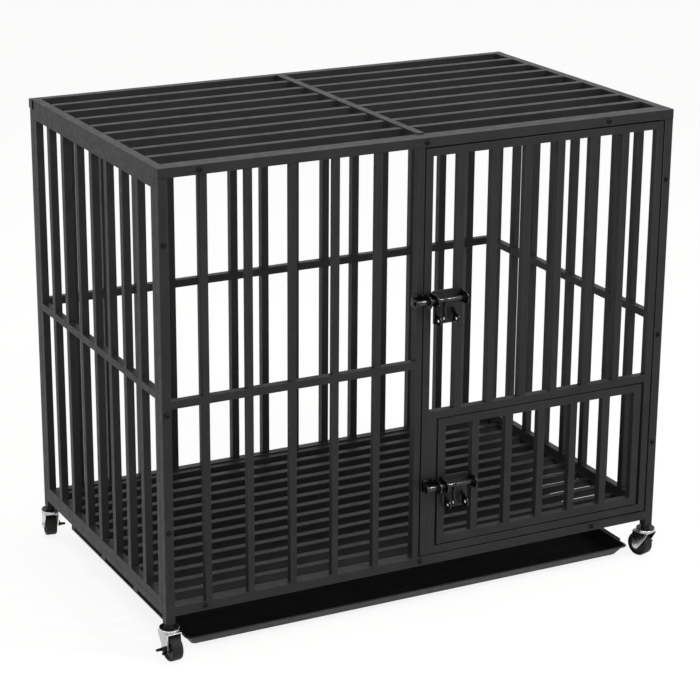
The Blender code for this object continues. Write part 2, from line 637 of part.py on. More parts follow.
def tray_runner(name, side, crate):
    """Angle that carries the tray's lip, hung from the floor panel by straps."""
    web = TRAY_INSET - RUNNER_SIDE_GAP
    metal = RUNNER_METAL
    top, ledge = -SEAT_GAP, -TRAY_DROP - TRAY_METAL - SEAT_GAP
    foot = [(web - metal, ledge - metal), (web + RUNNER_LEDGE, ledge - metal), (web + RUNNER_LEDGE, ledge)]
    foot.append((web, ledge))
    angle = foot + [(web, -TRAY_DROP), (web - metal, -TRAY_DROP)]
    strap = foot + [(web, top), (web - metal - RUNNER_FLANGE, top)]
    strap += [(web - metal - RUNNER_FLANGE, top - metal), (web - metal, top - metal)]
    if side is mirrored:
        angle = [(LENGTH - x, z) for x, z in angle[::-1]]
        strap = [(LENGTH - x, z) for x, z in strap[::-1]]
    rail = bmesh.new()
    add_prism(rail, angle, -RUNNER_REAR_Y, -RUNNER_FRONT_Y, FORWARD)
    straps = bmesh.new()
    for y in STRAP_Y:
        add_prism(straps, strap, -y - STRAP_WIDTH, -y, FORWARD)
    add_welded(name, (rail, straps), (), crate, POWDER_COAT, (0, 0, 0))


def caster_places():
    """(x, y, heading) of each caster."""
    for end, back, heading in CASTERS:
        x = LENGTH - POST / 2 if end else POST / 2
        y = DEPTH - POST / 2 if back else POST / 2
        yield x, y, math.radians(heading)


def caster_mount(name, place, crate):
    """Stem in the post, dome under it and the kingpin that holds the fork."""
    head_top = CROWN_Z - SEAT_GAP
    stem_top = DOME_TOP_Z + STEM_LENGTH
    profile = [(0, head_top - KINGPIN_HEAD), (KINGPIN_HEAD_RADIUS, head_top - KINGPIN_HEAD)]
    profile += [(KINGPIN_HEAD_RADIUS, head_top), (STEM_RADIUS, head_top), (STEM_RADIUS, DOME_Z)]
    for share in DOME_STEPS:
        radius = DOME_RADIUS - (DOME_RADIUS - DOME_NECK_RADIUS) * share ** 2
        profile.append((radius, DOME_Z + DOME_HEIGHT * share))
    profile += [(STEM_RADIUS, DOME_TOP_Z), (STEM_RADIUS, stem_top - STEM_CHAMFER)]
    profile += [(STEM_RADIUS - STEM_CHAMFER, stem_top), (0, stem_top)]
    bm = bmesh.new()
    add_turned(bm, profile)
    add_object(name, bm, crate, place, BLACK_PLASTIC, smooth=True)


def caster_fork(name, swivel):
    """Pressed fork: bearing race, crown and two tapered legs with the axle's holes."""
    eye = (WHEEL_TRAIL, AXLE_Z)
    leg_top = CROWN_Z + WELD
    outline = [(-FORK_BACK, leg_top)] + arc(eye, FORK_EYE_RADIUS, 180, 360, 8)
    outline.append((WHEEL_TRAIL + FORK_EYE_RADIUS, leg_top))
    legs = bmesh.new()
    for low in (LEG_INNER_Y, -LEG_OUTER_Y):
        add_prism(legs, outline, low, low + FORK_METAL, FORWARD)
    race = bmesh.new()
    add_pin(race, RACE_RADIUS, RACE_Z, RACE_TOP_Z)
    front = WHEEL_TRAIL + FORK_EYE_RADIUS
    crown = blocks(((-FORK_BACK, front), (-LEG_OUTER_Y, LEG_OUTER_Y), (CROWN_Z, CROWN_Z + CROWN_HEIGHT)))
    kingpin = bmesh.new()
    add_pin(kingpin, STEM_RADIUS + SEAT_GAP, AXLE_Z, 0)
    kingpin = add_object(f"{name}_kingpin_hole", kingpin, swivel, (0, 0, 0))
    axle = bmesh.new()
    matrix = Matrix.Translation((WHEEL_TRAIL, 0, AXLE_Z)) @ FORWARD
    add_pin(axle, AXLE_RADIUS + RUNNING_CLEARANCE, -2 * LEG_OUTER_Y, 2 * LEG_OUTER_Y, matrix)
    axle = add_object(f"{name}_axle_hole", axle, swivel, (0, 0, 0))
    add_welded(name, (crown, legs, race), (kingpin, axle), swivel, CHROME, (0, 0, 0), smooth=True)


def caster_wheel(name, hub):
    """Solid wheel with a chamfered tread and a bore for the axle."""
    half = WHEEL_WIDTH / 2
    bore = AXLE_RADIUS + RUNNING_CLEARANCE
    shoulder = WHEEL_RADIUS - WHEEL_CHAMFER
    profile = [(bore, -half), (shoulder, -half), (WHEEL_RADIUS, WHEEL_CHAMFER - half)]
    profile += [(WHEEL_RADIUS, half - WHEEL_CHAMFER), (shoulder, half), (bore, half)]
    bm = bmesh.new()
    add_turned(bm, profile, FORWARD, closed=True, segments=WHEEL_FACETS)
    add_object(name, bm, hub, (0, 0, 0), WHEEL_RUBBER, smooth=True)


def caster_axle(name, hub):
    """Riveted axle through the fork's legs, the wheel and the brake lever."""
    plain = LEG_OUTER_Y + SEAT_GAP
    lever = LEG_OUTER_Y + 2 * SEAT_GAP + LEVER_HUB
    profile = [(0, -plain - AXLE_HEAD), (AXLE_HEAD_RADIUS, -plain - AXLE_HEAD), (AXLE_HEAD_RADIUS, -plain)]
    profile += [(AXLE_RADIUS, -plain), (AXLE_RADIUS, lever), (AXLE_HEAD_RADIUS, lever)]
    profile += [(AXLE_HEAD_RADIUS, lever + AXLE_HEAD), (0, lever + AXLE_HEAD)]
    bm = bmesh.new()
    add_turned(bm, profile, FORWARD)
    add_object(name, bm, hub, (0, 0, 0), CHROME, smooth=True)


def caster_lever(name, hub):
    """Brake lever beside the fork: hub on the axle, pedal above and release tab below."""
    near = LEG_OUTER_Y + SEAT_GAP
    bore = AXLE_RADIUS + RUNNING_CLEARANCE
    disc = bmesh.new()
    profile = ((bore, near), (LEVER_HUB_RADIUS, near), (LEVER_HUB_RADIUS, near + LEVER_HUB), (bore, near + LEVER_HUB))
    add_turned(disc, profile, FORWARD, closed=True)
    inner = -near - WELD
    clear = AXLE_HEAD_RADIUS + SEAT_GAP
    pedal = ((-LEVER_HUB_RADIUS, -clear), (-LEVER_REACH, inner), PEDAL_Z)
    release = ((0, SMALL_TAB_ALONG), (-SMALL_TAB_REACH, inner), (-SMALL_TAB_DROP, -clear))
    tabs = blocks(pedal, release)
    add_welded(name, (disc, tabs), (), hub, BLACK_PLASTIC, (0, 0, 0), smooth=True)


def casters(crate):
    """Four swivel casters, each on the axis of its post."""
    for number, (x, y, heading) in enumerate(caster_places(), 1):
        name = f"caster_{number}"
        caster_mount(f"{name}_mount", (x, y, 0), crate)
        swivel = add_empty(f"{name}_swivel", (x, y, 0), crate)
        swivel.rotation_euler.z = heading
        caster_fork(f"{name}_fork", swivel)
        hub = add_empty(f"{name}_hub", (WHEEL_TRAIL, 0, AXLE_Z), swivel)
        caster_wheel(f"{name}_wheel", hub)
        caster_axle(f"{name}_axle", hub)
        caster_lever(f"{name}_brake", hub)


def middle_y():
    """Middle of the crate front to back, from the latches' ears to the rearmost wheel."""
    tread = WHEEL_WIDTH / 2 - WHEEL_CHAMFER
    rear = 0
    for _, y, heading in caster_places():
        reach = (WHEEL_TRAIL + WHEEL_RADIUS) * math.sin(heading) + tread * abs(math.cos(heading))
        rear = max(rear, y + reach)
    return (rear - EAR_REACH) / 2


def main():
    for item in list(bpy.data.objects):
        bpy.data.objects.remove(item, do_unlink=True)
    crate = add_empty("crate", (-LENGTH / 2, -middle_y(), FLOOR_DROP))

    door_hinge_x = DOOR_X[1] - PIVOT_INSET
    feed_hinge_x = FEED_X[1] - PIVOT_INSET
    door_hinge = add_pivot("main_door_hinge", (door_hinge_x, PIVOT_INSET, 0), crate)
    feed_hinge = add_pivot("feeding_door_hinge", (feed_hinge_x, PIVOT_INSET, 0), door_hinge)
    tray_slide = add_pivot("tray_slide", (LENGTH / 2, TRAY_FRONT_Y, -TRAY_DROP), crate)

    screws = screw_holes(crate)
    stems = stem_holes(crate)
    door_pivots = pivot_holes("main_door_pivot_holes", door_hinge_x, DOOR_Z, crate)
    feed_pivots = pivot_holes("feeding_door_pivot_holes", feed_hinge_x, FEED_Z, door_hinge)

    front_panel(crate, (stems, door_pivots, screws))
    rear_panel(crate, (stems,))
    side_panel("left_panel", tuple, crate, (screws,))
    side_panel("right_panel", mirrored, crate, (screws,))
    top_panel(crate, (screws, plug_holes(crate)))
    floor_panel(crate, (screws,))
    end_plug("plug_left", tuple, crate)
    end_plug("plug_right", mirrored, crate)
    panel_screws(crate)

    main_door(door_hinge, (door_pivots, feed_pivots))
    feeding_door(feed_hinge, (feed_pivots,))
    pivot_pins("main_door", door_hinge_x, DOOR_Z, crate)
    pivot_pins("feeding_door", feed_hinge_x, FEED_Z, door_hinge)
    upper = (DOOR_X[0] + UPPER_LATCH_INSET, -ROD_STANDOFF, UPPER_LATCH_Z)
    lower = (FEED_X[0] + LOWER_LATCH_INSET, -ROD_STANDOFF, LOWER_LATCH_Z)
    latch("main_latch", upper, door_hinge, crate)
    latch("feeding_latch", lower, feed_hinge, door_hinge)

    tray(tray_slide)
    tray_runner("runner_left", tuple, crate)
    tray_runner("runner_right", mirrored, crate)
    casters(crate)


main()
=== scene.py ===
"""Dog crate of welded square tube on casters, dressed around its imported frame."""
import math

import bmesh
import bpy
from bpy.props import FloatProperty, FloatVectorProperty, PointerProperty
from mathutils import Matrix, Vector, noise


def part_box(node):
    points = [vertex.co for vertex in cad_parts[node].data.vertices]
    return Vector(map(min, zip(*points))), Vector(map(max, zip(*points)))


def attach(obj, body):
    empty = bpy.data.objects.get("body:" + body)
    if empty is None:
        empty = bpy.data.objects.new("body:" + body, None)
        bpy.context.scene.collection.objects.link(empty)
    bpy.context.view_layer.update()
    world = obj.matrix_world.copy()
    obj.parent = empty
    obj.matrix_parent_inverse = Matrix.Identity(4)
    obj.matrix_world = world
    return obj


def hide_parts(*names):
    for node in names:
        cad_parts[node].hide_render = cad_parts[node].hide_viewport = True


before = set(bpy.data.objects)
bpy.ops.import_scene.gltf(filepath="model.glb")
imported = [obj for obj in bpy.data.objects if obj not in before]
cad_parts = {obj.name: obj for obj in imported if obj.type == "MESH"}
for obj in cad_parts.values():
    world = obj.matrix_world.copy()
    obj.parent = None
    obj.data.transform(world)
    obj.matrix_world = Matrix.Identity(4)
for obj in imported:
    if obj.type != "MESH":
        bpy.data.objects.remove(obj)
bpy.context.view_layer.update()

bl_info = {
    "name": "Dog Crate",
    "version": (1, 0, 0),
    "blender": (4, 5, 0),
    "location": "3D View > Sidebar > Dog Crate",
    "description": "Builds a welded dog crate with doors, latches, a tray and casters around its frame",
    "category": "Object",
}

MM = 0.001
PER_METRE = 1000
# Vertices closer than this many mm are one, and edges turned by more than this many degrees stay sharp
FUSE, CREASE = 0.0001, 40

# Crate coordinates in mm: x from the left end, y from the front face, z from under the bottom rails.
# SEAT and HAIR are the gaps between panels that are screwed together and between faces that only touch.
LENGTH, DEPTH, HEIGHT = 1070, 645, 845
POST, TUBE, BAR, REAR_BAR, FEED_TUBE = 18, 15, 13, 16, 16
LEG = 15
SEAT, HAIR = 0.3, 0.05
TIGHT_CORNER = 0.15
PANEL_Y = (POST + SEAT, DEPTH - POST - SEAT)
MIDDLE_POST = (513.5, 527)
SECTION_RAIL = (403.5, 418.5)
REAR_RAIL = (420, 436)
SIDE_RAIL = (417, 432)
SIDE_BOTTOM_RAIL = (15.3, 32)
SIDE_TOP_RAIL = (806.7, 826.95)
CENTRE_BAR, CENTRE_RISE = (527, 543), 2
PLUG_RIM, PLUG_CORNER, PLUG_BEVEL = 1.8, 0.6, 0.4

# Bars in each panel, and the gaps at its ends where they differ from the rest
FRONT_BARS, FRONT_FIRST_GAP = 5, 62
REAR_BARS, REAR_GAPS = 14, (50, 43.5)
SIDE_BARS, TOP_SLATS, FLOOR_SLATS = 7, 8, 12
DOOR_BARS, DOOR_GAPS = 6, (53, 62)
FEED_BARS = 5

# Doors, with their pins inside the end corners and a nylon washer in each gap
DOOR_X, DOOR_Z = (530, 1049), (21, 824)
DOOR_RAIL = (298, 313)
KEEPER_STILE = (545, 562)
FEED_X, FEED_Z = (566.5, 1027.5), (38.7, 295.3)
HINGE_Y, HINGE_INSET = 5, 5
PIVOT_RADIUS, PIVOT_ROUND, PIVOT_SEGMENTS = 2.5, 0.5, 32
PIVOT_IN_DOOR, PIVOT_IN_FRAME = 14, 11
DOOR_GAP, FEED_GAP = 3, 2.7
WASHER_BORE, WASHER_RIM, WASHER_PLAY = 2.6, 4.2, 0.2

# Screws: places along x and z, (radius, height) of the head from its seat, and half the socket's width
SCREW_X = (79, 531, 924)
SCREW_Z = (166.5, 393, 708)
SCREW_TOP, SCREW_MOUTH = 2.8, 2.5
SCREW_HEAD = ((0, -1), (2.9, -1), (5.2, 0), (5.2, 0.5), (5.0, 1.2), (4.4, 1.9), (3.4, 2.5),
              (SCREW_MOUTH, SCREW_TOP))
SCREW_SEGMENTS, SCREW_TURN = 36, 0.7
SOCKET_HALF, SOCKET_FLOOR = 2.05, 0.5

# Latches in mm, from the left end of the bracket and the rod's axis. PLATE_Y is the plate's front and back;
# the bracket's left edge sets in by BRACKET_NOTCH between the two heights of NOTCH_Z.
UPPER_LATCH = (541, -20, 539)
LOWER_LATCH = (569.7, -20, 166)
SHEET = 3
PLATE_Y = (16.7, 19.7)
PLATE_MIDDLE = PLATE_Y[0] + SHEET / 2
BRACKET_LENGTH, BRACKET_RISE, BRACKET_DROP, BRACKET_CORNER = 65.5, 14, 52, 3
BRACKET_NOTCH, NOTCH_Z = 3, (-12.6, -15)
EAR_HEIGHT, EAR_FRONT, EAR_ROUND, EAR_LAP = 23.5, -15, 11, 1.5
BEND = 1.5
FOLD = BEND + SHEET / 2
FOLD_LENGTH = math.pi / 2 * FOLD
FOLD_STEPS = 6
ROD_RADIUS, ROD_HOLE, TUBE_RADIUS, COLLAR_RADIUS = 4, 4.4, 5.4, 4.9
ROD_SPAN = (-30, 70.5)
KEEPER, KEEPER_HALF, KEEPER_PLAY = (-41, -12.5), 13, 0.2
KEEPER_END_HEIGHT, KEEPER_END_FRONT = 15, -8.5
PADLOCK_Z, PADLOCK_HOLE, PADLOCK_NOSE = -40, 2.8, 9
PADLOCK_EARS = (8.5, 47)
PADLOCK_TOP, PADLOCK_WELD, PADLOCK_LAP = -22, -8, 0.5
FLAG_X, FLAG_COLLAR = 20.5, 3
FLAG_HOLE_Z = -36.5
FLAG_EYE, FLAG_EYE_RADIUS = (0.4, 0), 6.2
FLAG_NECK = [(-3.5, -8), (-1.5, -14), (-1.5, -26)]
FLAG_PAD, FLAG_PAD_RADIUS = (0.6, FLAG_HOLE_Z), 6

# Tray in mm; its corners tighten with the inset from the rim, as far as TIGHTENING_END
TRAY_X, TRAY_Y = (46, 1024), (12, 607)
TRAY_TOP, TRAY_DEPTH, TRAY_METAL = -57, 22, 2
TRAY_LIP, TRAY_SLOPE, TRAY_BEND, TRAY_MIDDLE = 4, 14, 1.6, 120
TRAY_CORNER, CORNER_TIGHTENING, TIGHTENING_END = 12, 0.2, 20

# Runners in mm: paths of (x, z) for the left one and its straps, and (radius, height) of a rivet's head
RUNNER_Y, RUNNER_METAL = (50, 597), 2
RUNNER_WEB = TRAY_X[0] - 5
RUNNER_PATH = [(RUNNER_WEB + 8, -60.3), (RUNNER_WEB, -60.3), (RUNNER_WEB, -57)]
STRAP_Y, STRAP_WIDTH, STRAP_METAL, STRAP_PLAY = (240, 408, 577), 20, 1.7, 0.2
STRAP_PATH = [(RUNNER_WEB, -58.6), (RUNNER_WEB, -1.3), (RUNNER_WEB - 22, -1.3)]
STRIP_BEND = 2.5
RIVET_X = 30
RIVET_HEAD = ((0, -3.9), (1.6, -3.8), (2.8, -3.2), (3.2, -2.4), (0, -2.4))

# Casters in mm, about the post's axis: end, back and the way the wheel trails
CASTERS = ((0, 0, 275), (1, 0, 105), (0, 1, 80), (1, 1, 90))
TRAIL, AXLE_Z = 12, -60
# Stem with its dome, kingpin and washer, then the bearing race
MOUNT_PROFILE = ((0, -15.3), (8.8, -15.3), (8.9, -20.8), (9.6, -21.7), (11, -22.1), (16.6, -22.1),
                 (17.1, -21.3), (17.8, -21.1), (18.2, -21.5), (18.2, -23.1), (4, -23.1), (4, -31.2),
                 (6, -31.2), (6, -32.9), (4.6, -33.5), (0, -33.7))
RACE_PROFILE = ((4.5, -23.4), (18.4, -23.4), (19.5, -24.0), (19.5, -27.8), (18.6, -28.9), (4.5, -28.9))
# Fork: the back corner of its legs, the round about the axle, which takes over LEG_JOIN before the axle, and
# the stations where the fork's section is drawn
LEG_INNER, FORK_SHEET, CROWN_TOP, CROWN_BEND = 13.4, 2, -28.4, 3
FORK_SIDE = LEG_INNER + FORK_SHEET
FORK_SEAT = FORK_SIDE + 0.3
LEG_BACK, LEG_CURVE = (-16, -32.3), 1.2
LEG_ROUND, LEG_JOIN, LEG_JOIN_DROP = 8.5, 8, 2.9
FORK_STATIONS = (-16, -15, -13, -10, -7, -4, -1, 2, 4, 6, 8, 10, 12, 14, 16, 18, 19.4, 20.2, 20.5)
# Wheel: (radius, distance past its side) of half the tread and of the nylon web
WHEEL_RADIUS, WHEEL_HALF, WHEEL_BORE, WHEEL_SEGMENTS = 24, 11, 3.1, 64
TREAD_PROFILE = ((19.5, -0.6), (21, 0), (22.6, 0), (WHEEL_RADIUS, -2.2))
WEB_PROFILE = ((19.5, -0.6), (18.6, -3), (8.5, -3), (7.6, 0.6), (WHEEL_BORE, 0.6))
# Axle head, axle end and brake hub: (radius, distance past the fork)
AXLE_HEAD = ((0, 2), (2.2, 1.9), (3.6, 1.1), (4, 0), (3, 0))
AXLE_END = ((3, 4), (0, 4))
HUB_PROFILE = ((0, 4.3), (3.1, 4.3), (3.1, 0), (6, 0), (6, 4.2), (0, 5.2))
# Pedals, to press and to lift: x and z at the tip, x and z at the root, and how far out they reach
PEDALS = (((-9, -4.3), (-3, 1), (-8, -4.3), (-4.5, 3), 31),
          ((0, 6.3), (-8.1, -4.3), (-0.5, 7), (-8.4, -4.0), 23))
PEDAL_SIDES, PEDAL_ROOT, PEDAL_TAPER, PEDAL_SQUARENESS = 16, 0.5, 0.8, 4
# Share of the way out, and how much each section shrinks there to round the tip
PEDAL_SHRINK = {0: 0, 0.25: 0, 0.5: 0, 0.75: 0, 0.93: 0.1, 1: 0.45}

# Studio in metres and watts: name, place, width and power of each lamp
FLOOR_HALF, FLOOR_WHITE, SKY_STRENGTH = 12, 0.86, 0.75
LAMPS = (("top_lamp", (0, -0.2, 3.4), 3.0, 45), ("left_lamp", (-3.4, -0.6, 1.6), 2.2, 10),
         ("front_lamp", (-0.6, -4.2, 2.0), 2.5, 20), ("rod_lamp", (1.5, -1.9, 2.8), 0.4, 44),
         ("screw_lamp", (-2.2, -3.0, 2.6), 0.5, 18))
LAMP_AIM = (0, 0, 0.5)

# Camera: place in crate mm, azimuth, elevation and roll in degrees, lens and its axis in picture pixels
CAMERA_PLACE, CAMERA_ANGLES = (-1429.4, -3439.3, 1767.5), (25.717, 18.043, -0.174)
PICTURE, FOCAL, LENS_AXIS, SENSOR = 700, 2230.52, (277.18, 329.31), 36


def at(x, y, z):
    """A point in the frame's metres from one in crate millimetres."""
    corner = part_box("front_panel")[0]
    return Vector((corner.x, corner.y, corner.z + LEG * MM)) + Vector((x, y, z)) * MM


CRATE = Matrix.Translation(at(0, 0, 0)) @ Matrix.Scale(MM, 4)
ALONG_X = Matrix(((0, 0, 1, 0), (1, 0, 0, 0), (0, 1, 0, 0), (0, 0, 0, 1)))
FORWARD = Matrix(((1, 0, 0, 0), (0, 0, -1, 0), (0, 1, 0, 0), (0, 0, 0, 1)))


def srgb(value):
    """Linear colour of an sRGB hex value."""
    parts = [int(value[i:i + 2], 16) / 255 for i in (1, 3, 5)]
    return [p / 12.92 if p <= 0.04045 else ((p + 0.055) / 1.055) ** 2.4 for p in parts] + [1]


def size_property(name, description, default, low, high):
    """A length that Blender shows in the scene's units."""
    return FloatProperty(name=name, description=description, default=default * MM, min=low * MM,
                         max=high * MM, precision=5, subtype="DISTANCE", unit="LENGTH")


def colour_property(name, description, default):
    """A colour given as an sRGB hex value."""
    return FloatVectorProperty(name=name, description=description, default=srgb(default), size=4, min=0,
                               max=1, subtype="COLOR")


class CrateSizes(bpy.types.PropertyGroup):
    """Sizes of the finish's fine forms."""
    tube_corner: size_property("Tube corner", "Outer corner radius of the square tube", 0.8, 0.3, 3)
    weld_bead: size_property("Weld bead", "Leg of the fillet welds", 2.2, 0.5, 4)
    sheet_edge: size_property("Sheet edge", "Rounding of the edges of pressed sheet", 0.4, 0.1, 1)
    peel: size_property("Orange peel", "Spacing of the ripples in the coat", 5, 1, 20)


class CrateColours(bpy.types.PropertyGroup):
    """Colours of the finishes."""
    powder_coat: colour_property("Powder coat", "Satin black polyester powder coat", "#1F1F20")
    enamel: colour_property("Enamel", "Gloss black of the latches", "#070708")
    zinc: colour_property("Black zinc", "Passivated zinc plate of rods", "#3C3C3D")
    oxide: colour_property("Black oxide", "Oiled black oxide of the screws", "#050505")
    # Bright steel stands partly for bare metal and partly for painted highlight on edges and holes
    steel: colour_property("Bare steel", "Steel worn bright at edges and round holes, lightened as painted highlight", "#F0EEEA")
    # The tray's inside takes a darker copy of the powder coat as painted shade
    painted_shade_coat: colour_property("Painted shade coat", "Powder coat darkened as painted shade inside the tray", "#0B0B0B")
    plastic: colour_property("Plastic", "Moulded black nylon", "#0C0C0D")
    chrome: colour_property("Chrome", "Bright plate of the casters", "#BEBEC0")
    tyre: colour_property("Tyre", "Moulded thermoplastic rubber", "#171715")
    floor: colour_property("Floor", "Pale studio floor", "#F4F4F2")


def add_node(tree, kind, inputs=None, **settings):
    """Add a node with its settings; an input is a value or the socket that feeds it."""
    item = tree.nodes.new(kind)
    for name, value in settings.items():
        setattr(item, name, value)
    for socket, value in (inputs or {}).items():
        if isinstance(value, bpy.types.NodeSocket):
            tree.links.new(value, item.inputs[socket])
        else:
            item.inputs[socket].default_value = value
    return item


def empty_tree(owner):
    """The cleared node tree of a material or world."""
    owner.use_nodes = True
    owner.node_tree.nodes.clear()
    return owner.node_tree


def new_material(name, shader):
    """A material with its Principled shader, whose fixed values are given."""
    material = bpy.data.materials.new(name)
    tree = empty_tree(material)
    surface = add_node(tree, "ShaderNodeBsdfPrincipled", shader)
    add_node(tree, "ShaderNodeOutputMaterial", {"Surface": surface.outputs["BSDF"]})
    return material, tree, surface.inputs


def object_place(tree):
    """Place on the object, in metres."""
    return add_node(tree, "ShaderNodeTexCoord").outputs["Object"]


def clouds(tree, place, spacing, detail):
    """Soft noise at a spacing in mm, or at three spacings along x, y and z."""
    if isinstance(spacing, tuple):
        stretch = {"Vector": place, "Scale": [PER_METRE / step for step in spacing]}
        place, spacing = add_node(tree, "ShaderNodeMapping", stretch).outputs["Vector"], PER_METRE
    inputs = {"Vector": place, "Scale": PER_METRE / spacing, "Detail": detail}
    return add_node(tree, "ShaderNodeTexNoise", inputs).outputs["Fac"]


def relief(tree, height, depth, strength, normal=None):
    """Bump from a 0 to 1 height, with its depth in mm."""
    inputs = {"Height": height, "Strength": strength, "Distance": depth * MM}
    if normal:
        inputs["Normal"] = normal
    return add_node(tree, "ShaderNodeBump", inputs).outputs["Normal"]


def ripple(tree, place, spacing, depth, strength, normal=None):
    """Bump of soft ripples at a spacing and depth in mm."""
    return relief(tree, clouds(tree, place, spacing, 2), depth, strength, normal)


def tinted(tree, place, colour, spacing, low, high, contrast=0.15):
    """Colour between two shares of a base colour, in clouds at a spacing in mm."""
    ramp = add_node(tree, "ShaderNodeValToRGB", {"Fac": clouds(tree, place, spacing, 5)})
    ramp.color_ramp.elements[0].position = 0.5 - contrast
    ramp.color_ramp.elements[1].position = 0.5 + contrast
    for element, share in zip(ramp.color_ramp.elements, (low, high)):
        element.color = [channel * share for channel in colour[:3]] + [1]
    return ramp.outputs["Color"]


def ranged(tree, value, low, high):
    """A 0 to 1 value mapped to a range."""
    inputs = {"Value": value, "From Min": 0.3, "From Max": 0.7, "To Min": low, "To Max": high}
    return add_node(tree, "ShaderNodeMapRange", inputs).outputs["Result"]


def finish(name, colour, shader, tint, sheen, bump):
    """A finish that varies in colour, roughness and height, made once and shared.

    tint is its spacing, darkest and lightest share; sheen is its spacing, detail, lowest and highest
    roughness; bump is its spacing, depth and strength. A bump with no spacing follows the sheen."""
    if name in bpy.data.materials:
        return bpy.data.materials[name]
    material, tree, surface = new_material(name, shader)
    place = object_place(tree)
    base = tinted(tree, place, getattr(bpy.context.scene.crate_colours, colour), *tint)
    tree.links.new(base, surface["Base Color"])
    shine = clouds(tree, place, *sheen[:2])
    tree.links.new(ranged(tree, shine, *sheen[2:]), surface["Roughness"])
    normal = ripple(tree, place, *bump) if bump[0] else relief(tree, shine, *bump[1:])
    tree.links.new(normal, surface["Normal"])
    return material


def powder_coat():
    """Baked polyester powder: soft sheen, fine orange peel, and a lighter colour on the tube's corners,
    partly wear and partly painted highlight.
    """
    name, wear_and_highlight_share = "powder coat, satin black on steel tube", 2.2
    if name in bpy.data.materials:
        return bpy.data.materials[name]
    colour = bpy.context.scene.crate_colours.powder_coat
    peel = bpy.context.scene.crate_sizes.peel / MM
    material, tree, surface = new_material(name, {"Specular IOR Level": 0.16})
    place = object_place(tree)
    # Patches of the rounded corners take a lighter colour: partly worn coat, partly a painted highlight along
    # the edges
    edge = add_node(tree, "ShaderNodeAttribute", attribute_name="corner").outputs["Fac"]
    worn = add_node(tree, "ShaderNodeMath", {0: edge, 1: clouds(tree, place, 25, 6)}, operation="MULTIPLY")
    tones = {0: worn.outputs[0], 6: tinted(tree, place, colour, 60, 0.88, 1.14),
             7: [channel * wear_and_highlight_share for channel in colour[:3]] + [1]}
    wear_and_highlight = add_node(tree, "ShaderNodeMix", tones, data_type="RGBA")
    tree.links.new(wear_and_highlight.outputs[2], surface["Base Color"])
    tree.links.new(ranged(tree, clouds(tree, place, 14, 4), 0.40, 0.52), surface["Roughness"])
    # The real peel is about 2 mm apart, too fine for the render, so it is drawn coarser
    coarse = ripple(tree, place, peel, 0.05, 0.5)
    tree.links.new(ripple(tree, place, peel / 3, 0.02, 0.4, coarse), surface["Normal"])
    return material


def enamel():
    """Dipped and stoved: smoother and glossier than the tube."""
    return finish("stoved enamel, gloss black on pressed steel", "enamel", {"Specular IOR Level": 0.35},
                  tint=(12, 0.85, 1.2), sheen=(6, 4, 0.14, 0.24), bump=(3, 0.03, 0.4))


def black_zinc():
    """Dark conversion coat on turned steel: a metal's glint along the rod, with fine turning lines."""
    return finish("black zinc, passivated plate on turned steel", "zinc", {"Metallic": 0.85},
                  tint=(8, 0.9, 1.15), sheen=((1.2, 9, 9), 3, 0.12, 0.17), bump=(None, 0.005, 0.15))


def black_oxide():
    """Hot black on the screws: near black, with the crisp glint of its oil on the button head."""
    return finish("black oxide, oiled on cold-headed steel", "oxide", {"Specular IOR Level": 0.12},
                  tint=(2.5, 0.7, 1.4), sheen=(1.5, 3, 0.10, 0.18), bump=(1.5, 0.01, 0.3))


def bare_steel_and_highlight():
    """Bare metal of a sheared edge, or where a padlock's shackle has worn the coat off, made far brighter
    than the chrome as a painted highlight.
    """
    return finish("steel, worn bright", "steel", {"Metallic": 1},
                  tint=(2, 0.85, 1.1), sheen=(1, 4, 0.32, 0.5), bump=(1, 0.02, 0.4))


def painted_shade_coat():
    """Darker, duller copy of the powder coat for the inside of the tray: painted shade where the crate keeps
    the light off.
    """
    return finish("powder coat, matt black on pressed steel", "painted_shade_coat", {"Specular IOR Level": 0.03},
                  tint=(45, 0.8, 1.2), sheen=(20, 4, 0.62, 0.78), bump=(4, 0.05, 0.5))


def nylon():
    """Glass-filled nylon from a spark-eroded mould: even grain, near black with a dull sheen."""
    return finish("nylon, moulded black", "plastic", {"Specular IOR Level": 0.15},
                  tint=(6, 0.85, 1.2), sheen=(1.5, 3, 0.30, 0.42), bump=(0.9, 0.02, 0.35))


def chrome():
    """Barrel-plated pressing: a mirror broken up by the sheet's faint drawing lines."""
    return finish("chromium, bright plate on pressed steel", "chrome", {"Metallic": 1},
                  tint=(9, 0.9, 1.05), sheen=((2, 2, 18), 4, 0.12, 0.26), bump=(7, 0.05, 0.35))


def tyre_rubber():
    """Over-moulded tread: matte, dusty where it rolls."""
    return finish("thermoplastic rubber, moulded dark grey", "tyre", {"Specular IOR Level": 0.2},
                  tint=(5, 0.85, 1.25, 0.2), sheen=(4, 5, 0.50, 0.68), bump=(1.2, 0.04, 0.4))


def corner_size():
    """Outer corner radius of the tube, in mm."""
    return bpy.context.scene.crate_sizes.tube_corner / MM


def mirrored(span):
    """The span at the other end of the crate."""
    return (LENGTH - span[1], LENGTH - span[0])


def edges(span, width):
    """The first and last member of a span, each of the given width."""
    return (span[0], span[0] + width), (span[1] - width, span[1])


def between(pair):
    """The span from one member to the next, run into each by its rounded corner."""
    return (pair[0][1] - corner_size(), pair[1][0] + corner_size())


def spread(pair, count, width, first_gap=None, last_gap=None):
    """Spans of bars that divide the room between two members evenly, apart from any end gap given."""
    start, end = pair[0][1], pair[1][0]
    free = end - start - count * width - (first_gap or 0) - (last_gap or 0)
    gap = free / (count + 1 - (first_gap is not None) - (last_gap is not None))
    first = start + (gap if first_gap is None else first_gap)
    return [(first + step * (width + gap), first + step * (width + gap) + width) for step in range(count)]


def arc(centre, radius, start, end, steps=8):
    """Points of an arc between two angles in degrees."""
    angles = [math.radians(start + (end - start) * step / steps) for step in range(steps + 1)]
    return [(centre[0] + radius * math.cos(angle), centre[1] + radius * math.sin(angle)) for angle in angles]


